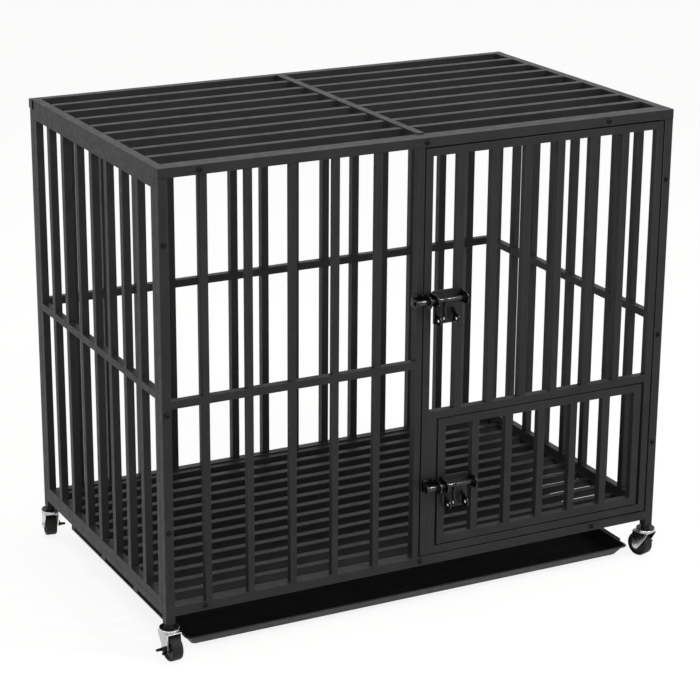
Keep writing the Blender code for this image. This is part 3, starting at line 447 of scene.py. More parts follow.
def rounded_box(u, v, radius, steps):
    """Outline of two spans with rounded corners, anticlockwise from the far one."""
    centres = ((u[1] - radius, v[1] - radius), (u[0] + radius, v[1] - radius),
               (u[0] + radius, v[0] + radius), (u[1] - radius, v[0] + radius))
    return [point for quarter, centre in enumerate(centres)
            for point in arc(centre, radius, 90 * quarter, 90 * quarter + 90, steps)]


def rounded(points, radius, steps=3):
    """An open profile with its inner corners rounded."""
    points = list(points)
    result = [points[0]]
    for before, here, after in zip(points, points[1:], points[2:]):
        a, b, c = Vector(before), Vector(here), Vector(after)
        first, second = (a - b), (c - b)
        cut = min(radius, first.length * 0.45, second.length * 0.45)
        start, end = b + first.normalized() * cut, b + second.normalized() * cut
        for step in range(steps + 1):
            t = step / steps
            result.append(tuple((1 - t) ** 2 * start + 2 * t * (1 - t) * b + t * t * end))
    return result + [points[-1]]


def skin(bm, rings, index=0):
    """Add bands of smooth faces between rings of vertices; a ring can be one point repeated."""
    band = []
    for low, high in zip(rings, rings[1:]):
        for step in range(len(low)):
            after = (step + 1) % len(low)
            corners = dict.fromkeys((low[step], low[after], high[after], high[step]))
            if len(corners) > 2:
                face = bm.faces.new(tuple(corners))
                face.smooth = True
                face.material_index = index
                band.append(face)
    return band


def cap(bm, rings):
    """Close the first and last ring of a skin."""
    bm.faces.new(rings[0][::-1])
    bm.faces.new(rings[-1])


def turned_ring(bm, matrix, reaches, height):
    """Vertices at equal turns about z, each at its own reach."""
    turns = [math.tau * step / len(reaches) for step in range(len(reaches))]
    return [bm.verts.new(matrix @ Vector((reach * math.cos(turn), reach * math.sin(turn), height)))
            for turn, reach in zip(turns, reaches)]


def add_turned(bm, profile, matrix=Matrix(), segments=40, closed=False, index=0):
    """Turn (radius, height) points in mm about z."""
    rings = []
    for radius, height in profile:
        if radius == 0:
            rings.append([bm.verts.new(matrix @ Vector((0, 0, height)))] * segments)
        else:
            rings.append(turned_ring(bm, matrix, [radius] * segments, height))
    if closed:
        rings.append(rings[0])
    skin(bm, rings, index)


def add_pin(bm, radius, span, end_round, matrix, segments=40):
    """Turn a plain pin with rounded ends."""
    low, high = span
    add_turned(bm, rounded([(0, low), (radius, low), (radius, high), (0, high)], end_round), matrix, segments)


def add_tube(bm, x, y, z, along, corner=None):
    """Add a square tube between spans in mm, with rounded corners along one axis."""
    corner = corner_size() if corner is None else corner
    spans = {"x": x, "y": y, "z": z}
    (low, high), (u, v) = spans.pop(along), spans.values()
    steps = 3
    outline = rounded_box(u, v, corner, steps)
    rings = []
    for place in (low, high):
        points = {"x": [(place, a, b) for a, b in outline], "y": [(a, place, b) for a, b in outline],
                  "z": [(a, b, place) for a, b in outline]}[along]
        rings.append([bm.verts.new(point) for point in points])
    # Faces on the rounded corners are marked; the powder coat paints them lighter, partly as wear and partly
    # as painted highlight
    edge = bm.faces.layers.float.get("corner") or bm.faces.layers.float.new("corner")
    for number, face in enumerate(skin(bm, rings)):
        on_corner = number % (steps + 1) != steps
        face[edge] = float(on_corner)
        face.smooth = on_corner
    cap(bm, rings)


def add_bead(bm, start, end, first, second):
    """Add a fillet weld along a line in mm, between two faces that lie along the given directions."""
    leg = bpy.context.scene.crate_sizes.weld_bead / MM
    start, end, first, second = (Vector(value) for value in (start, end, first, second))
    spacing, inset, waist = 2, 0.3, 0.42
    steps = max(4, round((end - start).length / spacing))
    rings = []
    for step in range(steps + 1):
        share = step / steps
        place = start.lerp(end, share)
        # The leg swells and shrinks along the weld and runs out at its ends
        size = leg * (1 + 0.16 * math.sin(step * 2.4 + start.x) + 0.12 * noise.noise(place * 0.3))
        size *= min(1, 0.45 + 2.5 * min(share, 1 - share))
        points = (first * size - second * inset, (first + second) * size * waist,
                  second * size - first * inset, -(first + second) * inset)
        rings.append([bm.verts.new(place + point) for point in points])
    skin(bm, rings)
    cap(bm, rings)


def bars_between(bm, plane, bars, rails, depth):
    """Add bars that stop at each rail they meet, with a weld on each side of each end.

    plane names the axis the bars run along, the axis they are spaced on and the axis of their depth.
    bars holds spans on the second axis, rails spans on the first."""
    along, across, deep = plane
    corner = corner_size()
    unit = {name: Vector([float(name == axis) for axis in "xyz"]) for name in "xyz"}
    rails = sorted(rails)
    for bar in bars:
        for below, above in zip(rails, rails[1:]):
            spans = {along: between((below, above)), across: bar, deep: depth}
            add_tube(bm, spans["x"], spans["y"], spans["z"], along)
            for side, out in ((bar[0], -1), (bar[1], 1)):
                for level, up in ((below[1], 1), (above[0], -1)):
                    base = unit[along] * level + unit[across] * side
                    start = base + unit[deep] * (depth[0] + corner)
                    end = base + unit[deep] * (depth[1] - corner)
                    add_bead(bm, start, end, unit[across] * out, unit[along] * up)


def add_plate(bm, outline, holes, low, high, matrix=Matrix(), cuts=(), shape=None):
    """Add a pressed plate from outlines in mm, with rounded edges and round holes.

    cuts are values of u where the mesh is split, so that shape can bend it."""
    edge = bpy.context.scene.crate_sizes.sheet_edge / MM
    curve = bpy.data.curves.new("plate", "CURVE")
    curve.dimensions = "2D"
    curve.fill_mode = "BOTH"
    curve.extrude = (high - low) / 2 - edge
    curve.bevel_depth = edge
    curve.bevel_resolution = 1
    curve.offset = -edge
    for points in [outline] + [arc(centre, radius, 0, 345, 23) for centre, radius in holes]:
        spline = curve.splines.new("POLY")
        spline.points.add(len(points) - 1)
        for point, (u, v) in zip(spline.points, points):
            point.co = (u, v, 0, 1)
        spline.use_cyclic_u = True
    holder = bpy.data.objects.new("plate", curve)
    bpy.context.scene.collection.objects.link(holder)
    mesh = bpy.data.meshes.new_from_object(holder.evaluated_get(bpy.context.evaluated_depsgraph_get()))
    bpy.data.objects.remove(holder)
    bpy.data.curves.remove(curve)
    plate = bmesh.new()
    plate.from_mesh(mesh)
    bmesh.ops.remove_doubles(plate, verts=plate.verts, dist=0.001)
    for cut in cuts:
        everything = plate.verts[:] + plate.edges[:] + plate.faces[:]
        bmesh.ops.bisect_plane(plate, geom=everything, plane_co=(cut, 0, 0), plane_no=(1, 0, 0))
    for vert in plate.verts:
        vert.co.z += (low + high) / 2
        if shape:
            vert.co = shape(vert.co)
        vert.co = matrix @ vert.co
    for face in plate.faces:
        face.smooth = True
    plate.to_mesh(mesh)
    plate.free()
    bm.from_mesh(mesh)
    bpy.data.meshes.remove(mesh)


def finish_piece(name, bm, body, material, replaced=(), matrix=CRATE, smooth=None):
    """Turn a bmesh in mm into a piece that rides on a body; edges past the smooth angle stay sharp."""
    bmesh.ops.transform(bm, matrix=matrix, verts=bm.verts)
    bmesh.ops.recalc_face_normals(bm, faces=bm.faces)
    mesh = bpy.data.meshes.new(name)
    bm.to_mesh(mesh)
    bm.free()
    if smooth is not None:
        mesh.shade_smooth()
        mesh.set_sharp_from_angle(angle=math.radians(smooth))
    piece = bpy.data.objects.new(name, mesh)
    bpy.context.scene.collection.objects.link(piece)
    for item in material if isinstance(material, list) else [material]:
        mesh.materials.append(item)
    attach(piece, body)
    if replaced:
        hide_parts(*replaced)
    return piece


def dress(node, made, bm, body, material, matrix=CRATE, smooth=None):
    """Turn a bmesh into the piece that stands for a node, named after the way it is made."""
    return finish_piece(f"{node}_{made}", bm, body, material, [node], matrix, smooth)


def finish_tubes(node, bm, body="cage"):
    """Turn welded tubes into the piece that stands for a node."""
    dress(node, "tubes", bm, body, powder_coat())


def front_panel():
    """Posts, rails and fixed bars of the front."""
    c = corner_size()
    bm = bmesh.new()
    posts, rails = edges((0, LENGTH), POST), edges((0, HEIGHT), POST)
    for x in posts:
        add_tube(bm, x, (0, POST), (-LEG, HEIGHT - POST + c), "z")
    add_tube(bm, between(posts), (0, POST), rails[0], "x")
    add_tube(bm, (0, LENGTH), (0, POST), rails[1], "x", TIGHT_CORNER)
    add_tube(bm, MIDDLE_POST, (0, POST), between(rails), "z")
    section = (posts[0], MIDDLE_POST)
    add_tube(bm, between(section), (0, TUBE), SECTION_RAIL, "x")
    bars = spread(section, FRONT_BARS, BAR, FRONT_FIRST_GAP)
    bars_between(bm, "zxy", bars, rails + (SECTION_RAIL,), (0, BAR))
    for side, out in ((POST, 1), (MIDDLE_POST[0], -1)):
        for level, up in ((SECTION_RAIL[0], -1), (SECTION_RAIL[1], 1), (POST, 1), (HEIGHT - POST, -1)):
            add_bead(bm, (side, c, level), (side, TUBE - c, level), (out, 0, 0), (0, 0, up))
    finish_tubes("front_panel", bm)


def rear_panel():
    """Posts, rails and bars of the back."""
    top = HEIGHT - POST - SEAT
    y = (DEPTH - POST, DEPTH)
    bm = bmesh.new()
    posts, rails = edges((0, LENGTH), POST), edges((0, top), POST)
    for x in posts:
        add_tube(bm, x, y, (-LEG, top), "z")
    for z in rails:
        add_tube(bm, between(posts), y, z, "x")
    add_tube(bm, between(posts), (DEPTH - TUBE, DEPTH), REAR_RAIL, "x")
    bars = spread(posts, REAR_BARS, REAR_BAR, *REAR_GAPS)
    bars_between(bm, "zxy", bars, rails + (REAR_RAIL,), (DEPTH - REAR_BAR, DEPTH))
    finish_tubes("rear_panel", bm)


def side_panel(name, side):
    """Stiles, rails and bars of one end."""
    x = side((0, TUBE))
    stiles = edges(PANEL_Y, TUBE)
    bm = bmesh.new()
    for y in stiles:
        add_tube(bm, x, y, between((SIDE_BOTTOM_RAIL, SIDE_TOP_RAIL)), "z")
    add_tube(bm, x, between(stiles), SIDE_RAIL, "y")
    for z in (SIDE_BOTTOM_RAIL, SIDE_TOP_RAIL):
        add_tube(bm, x, PANEL_Y, z, "y", TIGHT_CORNER)
    rails = (SIDE_BOTTOM_RAIL, SIDE_RAIL, SIDE_TOP_RAIL)
    bars_between(bm, "zyx", spread(stiles, SIDE_BARS, TUBE), rails, x)
    finish_tubes(name, bm)


def top_panel():
    """Rails, slats and centre bar of the slatted top."""
    z, tall = (HEIGHT - TUBE, HEIGHT), (HEIGHT - POST, HEIGHT)
    front, rear = (POST + HAIR, PANEL_Y[0] + TUBE), (DEPTH - POST, DEPTH)
    sides = edges((0, LENGTH), POST)
    bm = bmesh.new()
    add_tube(bm, between(sides), front, z, "x", TIGHT_CORNER)
    add_tube(bm, (0, LENGTH), rear, tall, "x")
    for x in sides:
        add_tube(bm, x, (front[0], rear[0] + corner_size()), tall, "y", TIGHT_CORNER)
    add_tube(bm, CENTRE_BAR, between((front, rear)), (z[0], HEIGHT + CENTRE_RISE), "y")
    bars_between(bm, "xyz", spread((front, rear), TOP_SLATS, TUBE), (sides[0], CENTRE_BAR, sides[1]), z)
    finish_tubes("top_panel", bm)


def floor_panel():
    """Rails and slats of the floor."""
    z = (0, TUBE)
    rails, ends = edges(PANEL_Y, TUBE), edges((0, LENGTH), POST)
    bm = bmesh.new()
    for y in rails:
        add_tube(bm, (0, LENGTH), y, z, "x")
    for x in ends:
        add_tube(bm, x, between(rails), z, "y", TIGHT_CORNER)
    bars_between(bm, "xyz", spread(rails, FLOOR_SLATS, TUBE), ends, z)
    finish_tubes("floor_panel", bm)


def main_door():
    """Frame, bars and keeper stile of the main door."""
    y = (0, TUBE)
    stiles, (low, high) = edges(DOOR_X, TUBE), edges(DOOR_Z, TUBE)
    rails = (low, DOOR_RAIL, high)
    bm = bmesh.new()
    for x in stiles:
        add_tube(bm, x, y, DOOR_Z, "z")
    for z in rails:
        add_tube(bm, between(stiles), y, z, "x")
    add_tube(bm, KEEPER_STILE, y, between(rails[:2]), "z")
    bars_between(bm, "zxy", spread(stiles, DOOR_BARS, TUBE, *DOOR_GAPS), rails[1:], y)
    finish_tubes("main_door", bm, "main_door")


def feeding_door():
    """Frame and bars of the feeding door."""
    y = (0, TUBE)
    stiles, rails = edges(FEED_X, FEED_TUBE), edges(FEED_Z, FEED_TUBE)
    bm = bmesh.new()
    for x in stiles:
        add_tube(bm, x, y, FEED_Z, "z")
    for z in rails:
        add_tube(bm, between(stiles), y, z, "x")
    bars_between(bm, "zxy", spread(stiles, FEED_BARS, TUBE), rails, y)
    finish_tubes("feeding_door", bm, "feeding_door")


def pivot(name, body, door_x, door_z, gap):
    """Turned pins of a door, each with a nylon washer in the gap."""
    axis = Matrix.Translation((door_x[1] - HINGE_INSET, HINGE_Y, 0))
    pins = (("lower", (door_z[0] - DOOR_GAP - PIVOT_IN_FRAME, door_z[0] + PIVOT_IN_DOOR), door_z[0]),
            ("upper", (door_z[1] - PIVOT_IN_DOOR, door_z[1] + DOOR_GAP + PIVOT_IN_FRAME), door_z[1] + gap))
    for label, span, gap_top in pins:
        bm = bmesh.new()
        add_pin(bm, PIVOT_RADIUS, span, PIVOT_ROUND, axis, PIVOT_SEGMENTS)
        dress(f"{name}_pin_{label}", "turned", bm, body, black_zinc())
        top = gap_top - WASHER_PLAY
        bottom = top - gap + 2 * WASHER_PLAY
        bm = bmesh.new()
        profile = [(WASHER_BORE, bottom), (WASHER_RIM, bottom), (WASHER_RIM, top), (WASHER_BORE, top)]
        add_turned(bm, profile, axis, PIVOT_SEGMENTS, closed=True)
        finish_piece(f"{name}_washer_{label}", bm, body, nylon(), smooth=30)


def screw_mesh(bm, matrix):
    """Add a button-head screw with a hexagon socket, its seat at z = 0."""
    add_turned(bm, SCREW_HEAD, matrix, SCREW_SEGMENTS)
    sixth = math.pi / 3
    turns = [math.tau * step / SCREW_SEGMENTS for step in range(SCREW_SEGMENTS)]
    hexagon = [SOCKET_HALF / math.cos((turn + sixth / 2) % sixth - sixth / 2) for turn in turns]
    socket = turned_ring(bm, matrix, hexagon, SCREW_TOP)
    floor = turned_ring(bm, matrix, hexagon, SOCKET_FLOOR)
    mouth = turned_ring(bm, matrix, [SCREW_MOUTH] * SCREW_SEGMENTS, SCREW_TOP)
    # The socket's mouth takes the lighter black zinc as a painted highlight round its rim
    skin(bm, (mouth, socket), index=1)
    skin(bm, (socket, floor))
    bm.faces.new(floor)
    bmesh.ops.remove_doubles(bm, verts=bm.verts, dist=FUSE)


def panel_screws():
    """Screws that join the panels, in front and behind."""
    places = {}
    for label, z in (("top", HEIGHT - POST / 2), ("bottom", POST / 2)):
        for number, x in enumerate(SCREW_X, 1):
            places[f"screw_{label}_{number}"] = (x, z)
    for label, x in (("left", POST / 2), ("right", LENGTH - POST / 2)):
        for number, z in enumerate(SCREW_Z, 1):
            places[f"screw_{label}_{number}"] = (x, z)
    # Second finish: the lighter black zinc on each socket's mouth, a painted highlight
    finishes = [black_oxide(), black_zinc()]
    for number, (name, (x, z)) in enumerate(places.items()):
        bm = bmesh.new()
        screw_mesh(bm, Matrix.Rotation(number * SCREW_TURN, 4, "Z"))
        matrix = CRATE @ Matrix.Translation((x, -SEAT, z)) @ FORWARD
        dress(name, "head", bm, "cage", finishes, matrix, CREASE)
    bm = bmesh.new()
    back = Matrix.Translation((0, DEPTH + HAIR, 0)) @ FORWARD @ Matrix.Rotation(math.pi, 4, "X")
    for name, (x, z) in places.items():
        if not name.startswith("screw_top"):
            screw_mesh(bm, back @ Matrix.Translation((x, -z, 0)))
    finish_piece("rear_screws", bm, "cage", finishes, smooth=CREASE)


def end_plugs():
    """Moulded plugs in the rear top rail."""
    for name, side in (("plug_left", tuple), ("plug_right", mirrored)):
        bm = bmesh.new()
        y, z = (DEPTH - POST, DEPTH), (HEIGHT - POST, HEIGHT)
        add_tube(bm, side((-PLUG_RIM, 0)), y, z, "x", PLUG_CORNER)
        plug = dress(name, "cap", bm, "cage", nylon(), smooth=35)
        bevel = plug.modifiers.new("rim", "BEVEL")
        bevel.width = PLUG_BEVEL * MM
        bevel.segments = 2


def bent(side):
    """Fold the ear of a latch plate forward; side 1 is its right end and -1 its left."""
    def shape(point):
        past = point.x
        if past <= 0:
            return Vector((side * past, PLATE_MIDDLE + point.z, point.y))
        angle = min(past, FOLD_LENGTH) / FOLD
        rest = max(past - FOLD_LENGTH, 0)
        reach = FOLD + point.z
        y = PLATE_MIDDLE - FOLD + reach * math.cos(angle) - rest
        return Vector((side * reach * math.sin(angle), y, point.y))
    return shape


def ear(bm, x_outer, side, height=EAR_HEIGHT, front=EAR_FRONT):
    """Add one folded ear with the rod's hole; x_outer is its outer face."""
    tip = FOLD_LENGTH + (PLATE_Y[0] - BEND - front)
    half = height / 2
    r = min(EAR_ROUND, half - 0.5)
    outline = [(-EAR_LAP, -half), (tip - r, -half)] + arc((tip - r, r - half), r, 270, 360)
    outline += arc((tip - r, half - r), r, 0, 90) + [(-EAR_LAP, half)]
    hole = ((FOLD_LENGTH + PLATE_Y[0] - BEND, 0), ROD_HOLE)
    start = Matrix.Translation((x_outer - side * (BEND + SHEET), 0, 0))
    cuts = [FOLD_LENGTH * step / FOLD_STEPS for step in range(FOLD_STEPS + 1)]
    add_plate(bm, outline, [hole], -SHEET / 2, SHEET / 2, start, cuts, bent(side))


def fin_outline():
    """Padlock ear as (y, z): a fin that slopes from the plate down to a round nose."""
    back = PLATE_Y[0] + PADLOCK_LAP
    nose = arc((0, PADLOCK_Z), PADLOCK_NOSE, 110, 270)
    return [(back, PADLOCK_TOP)] + nose + [(back, PADLOCK_Z - PADLOCK_NOSE)]


def worn_hole_highlights(name, places, z, body, matrix):
    """Bare metal linings of the padlock holes in plates that start at the given x, their brightness partly
    wear and partly a painted highlight on the holes.
    """
    bm = bmesh.new()
    bore, wall, rim = PADLOCK_HOLE - 0.7, PADLOCK_HOLE + 0.1, PADLOCK_HOLE + 0.5
    proud, flare, edge = 0.1, 0.2, 0.4
    for x in places:
        end = x + SHEET
        lining = [(bore, x - proud), (rim, x - proud), (rim, x + flare), (wall, x + edge), (wall, end - edge),
                  (rim, end - flare), (rim, end + proud), (bore, end + proud), (bore, x - proud)]
        add_turned(bm, lining, Matrix.Translation((0, 0, z)) @ ALONG_X, 24)
    bmesh.ops.remove_doubles(bm, verts=bm.verts, dist=FUSE)
    finish_piece(name, bm, body, bare_steel_and_highlight(), matrix=matrix, smooth=CREASE)


def add_sleeve(bm, radius, low, high, end_round):
    """Add a tube round the rod between two values of x, in the piece's second finish."""
    profile = [(ROD_HOLE, low), (radius, low), (radius, high), (ROD_HOLE, high), (ROD_HOLE, low)]
    add_turned(bm, rounded(profile, end_round), ALONG_X, index=1)


def bracket(name, body, matrix):
    """Plate with an ear at each end for the rod, and two padlock fins welded below."""
    bm = bmesh.new()
    left, r = BEND + SHEET, BRACKET_CORNER
    right, low, high = BRACKET_LENGTH - left, -BRACKET_DROP, BRACKET_RISE
    outline = [(left, NOTCH_Z[0]), (left + BRACKET_NOTCH, NOTCH_Z[1])]
    for centre, start in (((left + BRACKET_NOTCH + r, low + r), 180), ((right - r, low + r), 270),
                          ((right - r, high - r), 0), ((left + r, high - r), 90)):
        outline += arc(centre, r, start, start + 90, 4)
    add_plate(bm, outline, (), -PLATE_Y[1], -PLATE_Y[0], FORWARD)
    for face in bm.faces:
        face.material_index = 1
    ear(bm, 0, -1)
    ear(bm, BRACKET_LENGTH, 1)
    for x in PADLOCK_EARS:
        add_plate(bm, fin_outline(), [((0, PADLOCK_Z), PADLOCK_HOLE)], x, x + SHEET, ALONG_X)
        for side, out in ((x, -1), (x + SHEET, 1)):
            top, foot = (side, PLATE_Y[0], PADLOCK_TOP), (side, PLATE_Y[0], PADLOCK_Z + PADLOCK_WELD)
            add_bead(bm, top, foot, (out, 0, 0), (0, -1, 0))
    dress(f"{name}_bracket", "pressed", bm, body, [enamel(), powder_coat()], matrix, CREASE)
    worn_hole_highlights(f"{name}_bracket_holes", PADLOCK_EARS, PADLOCK_Z, body, matrix)


def keeper(name, body, matrix):
    """Small plate with two ears and the sleeve that the rod slides into."""
    bm = bmesh.new()
    left, right = KEEPER[0] + (BEND + SHEET), KEEPER[1] - (BEND + SHEET)
    outline = [(left, -KEEPER_HALF), (right, -KEEPER_HALF), (right, KEEPER_HALF), (left, KEEPER_HALF)]
    add_plate(bm, outline, (), -PLATE_Y[1], -PLATE_Y[0], FORWARD)
    ear(bm, KEEPER[0], -1, KEEPER_END_HEIGHT, KEEPER_END_FRONT)
    ear(bm, KEEPER[1], 1)
    add_sleeve(bm, TUBE_RADIUS, KEEPER[0] + KEEPER_PLAY, KEEPER[1] - KEEPER_PLAY, 0.5)
    dress(f"{name}_keeper", "pressed", bm, body, [enamel(), black_zinc()], matrix, CREASE)


def rod(name, body, matrix):
    """Turned rod with rounded ends."""
    bm = bmesh.new()
    add_pin(bm, ROD_RADIUS, ROD_SPAN, 1, ALONG_X)
    dress(f"{name}_rod", "turned", bm, body, black_zinc(), matrix)


def flag(name, body, matrix):
    """Padlock plate that hangs from the rod by its collar."""
    worn_hole_highlights(f"{name}_flag_hole", (FLAG_X,), FLAG_HOLE_Z, body, matrix)
    bm = bmesh.new()
    outline = arc(FLAG_EYE, FLAG_EYE_RADIUS, -20, 200, 16) + FLAG_NECK
    outline += arc(FLAG_PAD, FLAG_PAD_RADIUS, 170, 370, 16)
    holes = [((0, 0), ROD_HOLE), ((0, FLAG_HOLE_Z), PADLOCK_HOLE)]
    add_plate(bm, outline, holes, FLAG_X, FLAG_X + SHEET, ALONG_X)
    add_sleeve(bm, COLLAR_RADIUS, FLAG_X - FLAG_COLLAR, FLAG_X + SHEET + FLAG_COLLAR, 0.3)
    dress(f"{name}_flag", "pressed", bm, body, [powder_coat(), black_zinc()], matrix, CREASE)


def latch(name, place, door, carrier, flag_body, bolt):
    """Bracket, keeper, rod and padlock flag of one slide bolt."""
    matrix = CRATE @ Matrix.Translation(place)
    bracket(name, door, matrix)
    keeper(name, carrier, matrix)
    rod(name, bolt, matrix)
    flag(name, flag_body, matrix)


def tray():
    """Pressed tray with rolled bends and a flat lip."""
    bm = bmesh.new()
    depth = TRAY_DEPTH - TRAY_METAL
    lean = TRAY_SLOPE / depth
    inner = TRAY_LIP + TRAY_METAL * (math.hypot(1, lean) - lean)
    bottom, lip, floor = TRAY_TOP - TRAY_DEPTH, TRAY_TOP - TRAY_METAL, TRAY_TOP - depth
    # Loop of (inset, height) from the middle of the underside round the lip to the middle of the floor
    profile = [(TRAY_MIDDLE, bottom), (TRAY_LIP + TRAY_SLOPE, bottom), (TRAY_LIP, lip), (0, lip),
               (0, TRAY_TOP), (inner, TRAY_TOP), (inner + TRAY_SLOPE, floor), (TRAY_MIDDLE, floor)]
    path = rounded(profile, TRAY_BEND)
    rings = []
    for inset, z in path:
        x = (TRAY_X[0] + inset, TRAY_X[1] - inset)
        y = (TRAY_Y[0] + inset, TRAY_Y[1] - inset)
        r = TRAY_CORNER - CORNER_TIGHTENING * min(inset, TIGHTENING_END)
        rings.append([bm.verts.new((a, b, z)) for a, b in rounded_box(x, y, r, 6)])
    # The painted shade inside starts where the lip's flat top ends
    turn = path.index(max(path, key=lambda point: (point[1], point[0] < inner, point[0])))
    for number, pair in enumerate(zip(rings, rings[1:])):
        skin(bm, pair, index=int(number >= turn))
    bm.faces.new(rings[0])
    bm.faces.new(rings[-1]).material_index = 1
    dress("tray", "pressed", bm, "tray", [powder_coat(), painted_shade_coat()])


def folded(bm, path, metal, side, y):
    """Add a strip folded along a path of (x, z) in mm, between two values of y."""
    path = rounded(path, STRIP_BEND, 4)
    normals = []
    for step in range(len(path)):
        before = Vector(path[max(step - 1, 0)])
        after = Vector(path[min(step + 1, len(path) - 1)])
        along = (after - before).normalized()
        normals.append(Vector((-along.y, along.x)) * metal / 2)
    outline = [Vector(p) + n for p, n in zip(path, normals)]
    outline += [Vector(p) - n for p, n in zip(path[::-1], normals[::-1])]
    rings = [[bm.verts.new((side((u, u))[0], place, v)) for u, v in outline] for place in y]
    skin(bm, rings)
    cap(bm, rings)


def runners():
    """Angles that carry the tray, each hung from the floor by riveted straps."""
    rivets = bmesh.new()
    for name, side in (("runner_left", tuple), ("runner_right", mirrored)):
        bm = bmesh.new()
        folded(bm, RUNNER_PATH, RUNNER_METAL, side, RUNNER_Y)
        for y in STRAP_Y:
            folded(bm, STRAP_PATH, STRAP_METAL, side, (y + STRAP_PLAY, y + STRAP_WIDTH - STRAP_PLAY))
            place = Matrix.Translation((side((RIVET_X, RIVET_X))[0], y + STRAP_WIDTH / 2, 0))
            add_turned(rivets, RIVET_HEAD, place, 20)
        dress(name, "folded", bm, "cage", powder_coat(), smooth=CREASE)
    finish_piece("runner_rivets", rivets, "cage", black_zinc())


def fork_bottom(x):
    """Lower edge of a fork's leg at a distance along the way it trails."""
    join, (back, heel) = TRAIL - LEG_JOIN, LEG_BACK
    if x > join:
        return AXLE_Z - math.sqrt(max(LEG_ROUND ** 2 - (x - TRAIL) ** 2, 0))
    share = (x - back) / (join - back)
    return heel + (AXLE_Z - LEG_JOIN_DROP - heel) * (1 - (1 - share) ** LEG_CURVE)


def fork(name, matrix):
    """Pressed fork under its bearing race, with its sheared edges bare and brighter than the chrome as a
    painted highlight.
    """
    bm = bmesh.new()
    add_turned(bm, rounded(RACE_PROFILE, 0.6), segments=56)
    shoulder, across = CROWN_TOP - CROWN_BEND, FORK_SIDE - CROWN_BEND
    crown = arc((across, shoulder), CROWN_BEND, 0, 90, 4)
    crown += arc((-across, shoulder), CROWN_BEND, 90, 180, 4)
    rings = []
    for station in FORK_STATIONS:
        low = fork_bottom(station)
        leg = [(FORK_SIDE, low), (FORK_SIDE, (low + shoulder) / 2)]
        points = leg + crown + [(-v, w) for v, w in leg[::-1]]
        rings.append([bm.verts.new((station, v, w)) for v, w in points])
    sheet = []
    for first, second in zip(rings, rings[1:]):
        for step in range(len(first) - 1):
            sheet.append(bm.faces.new((first[step], first[step + 1], second[step + 1], second[step])))
    for face in sheet:
        face.smooth = True
    bmesh.ops.recalc_face_normals(bm, faces=sheet)
    if sheet[0].normal.y < 0:
        bmesh.ops.reverse_faces(bm, faces=sheet)
    bmesh.ops.solidify(bm, geom=sheet, thickness=FORK_SHEET)
    bm.normal_update()
    # Front and underside rim faces take the bright steel: a painted highlight along the sheet's edges
    for face in bm.faces:
        middle = face.calc_center_median()
        at_front = abs(face.normal.x) > 0.8 and middle.x > FORK_STATIONS[-1] - 0.1
        under_leg = face.normal.z < -0.3 and abs(middle.y) > LEG_INNER + 0.2
        if at_front or under_leg:
            face.material_index = 1
    dress(f"{name}_fork", "pressed", bm, name, [chrome(), bare_steel_and_highlight()], matrix, 50)


def wheel(name, hub):
    """Rubber tread on a nylon wheel."""
    bm = bmesh.new()
    tread = [(radius, WHEEL_HALF + past) for radius, past in TREAD_PROFILE]
    tread = [(radius, -side) for radius, side in tread] + tread[::-1]
    add_turned(bm, rounded(tread, 1.2), segments=WHEEL_SEGMENTS)
    for side in (-1, 1):
        web = [(radius, side * (WHEEL_HALF + past)) for radius, past in WEB_PROFILE]
        add_turned(bm, rounded(web, 0.8), segments=WHEEL_SEGMENTS, index=1)
    end = WHEEL_HALF + WEB_PROFILE[-1][1]
    add_turned(bm, [(WHEEL_BORE, -end), (WHEEL_BORE, end)], segments=WHEEL_SEGMENTS, index=1)
    dress(f"{name}_wheel", "moulded", bm, f"{name}_wheel", [tyre_rubber(), nylon()], hub)


def pedal(bm, tip_x, tip_z, root_x, root_z, reach):
    """Add a tapered tab that stands out from the brake's hub; x and z spans at its tip and its root."""
    rings = []
    for share, shrink in PEDAL_SHRINK.items():
        blend = share ** PEDAL_TAPER
        x = [a + (b - a) * blend for a, b in zip(root_x, tip_x)]
        z = [a + (b - a) * blend for a, b in zip(root_z, tip_z)]
        half_x, half_z = ((span[1] - span[0]) / 2 * (1 - shrink) for span in (x, z))
        out = FORK_SEAT + PEDAL_ROOT + (reach - FORK_SEAT - PEDAL_ROOT) * share
        ring = []
        for step in range(PEDAL_SIDES):
            angle = math.tau * step / PEDAL_SIDES
            u, v = math.cos(angle), math.sin(angle)
            swell = (abs(u) ** PEDAL_SQUARENESS + abs(v) ** PEDAL_SQUARENESS) ** (-1 / PEDAL_SQUARENESS)
            ring.append(bm.verts.new((sum(x) / 2 + half_x * u * swell, sum(z) / 2 + half_z * v * swell, out)))
        rings.append(ring)
    skin(bm, rings)
    bm.faces.new(rings[0])
    bm.faces.new(rings[-1])


def caster(number, end, back, heading):
    """Mount, fork, wheel, axle and brake lever of one caster."""
    name = f"caster_{number}"
    x = LENGTH - POST / 2 if end else POST / 2
    y = DEPTH - POST / 2 if back else POST / 2
    matrix = CRATE @ Matrix.Translation((x, y, 0)) @ Matrix.Rotation(math.radians(heading), 4, "Z")
    hub = matrix @ Matrix.Translation((TRAIL, 0, AXLE_Z)) @ FORWARD

    bm = bmesh.new()
    add_turned(bm, MOUNT_PROFILE, segments=48)
    dress(f"{name}_mount", "moulded", bm, "cage", nylon(), matrix, CREASE)

    fork(name, matrix)
    wheel(name, hub)

    bm = bmesh.new()
    head = [(radius, -FORK_SEAT - past) for radius, past in AXLE_HEAD]
    add_turned(bm, head + [(radius, FORK_SEAT + past) for radius, past in AXLE_END], segments=32)
    dress(f"{name}_axle", "riveted", bm, name, chrome(), hub, CREASE)

    bm = bmesh.new()
    add_turned(bm, rounded([(radius, FORK_SEAT + past) for radius, past in HUB_PROFILE], 0.8))
    for shape in PEDALS:
        pedal(bm, *shape)
    dress(f"{name}_brake", "moulded", bm, f"{name}_brake", nylon(), hub, CREASE)


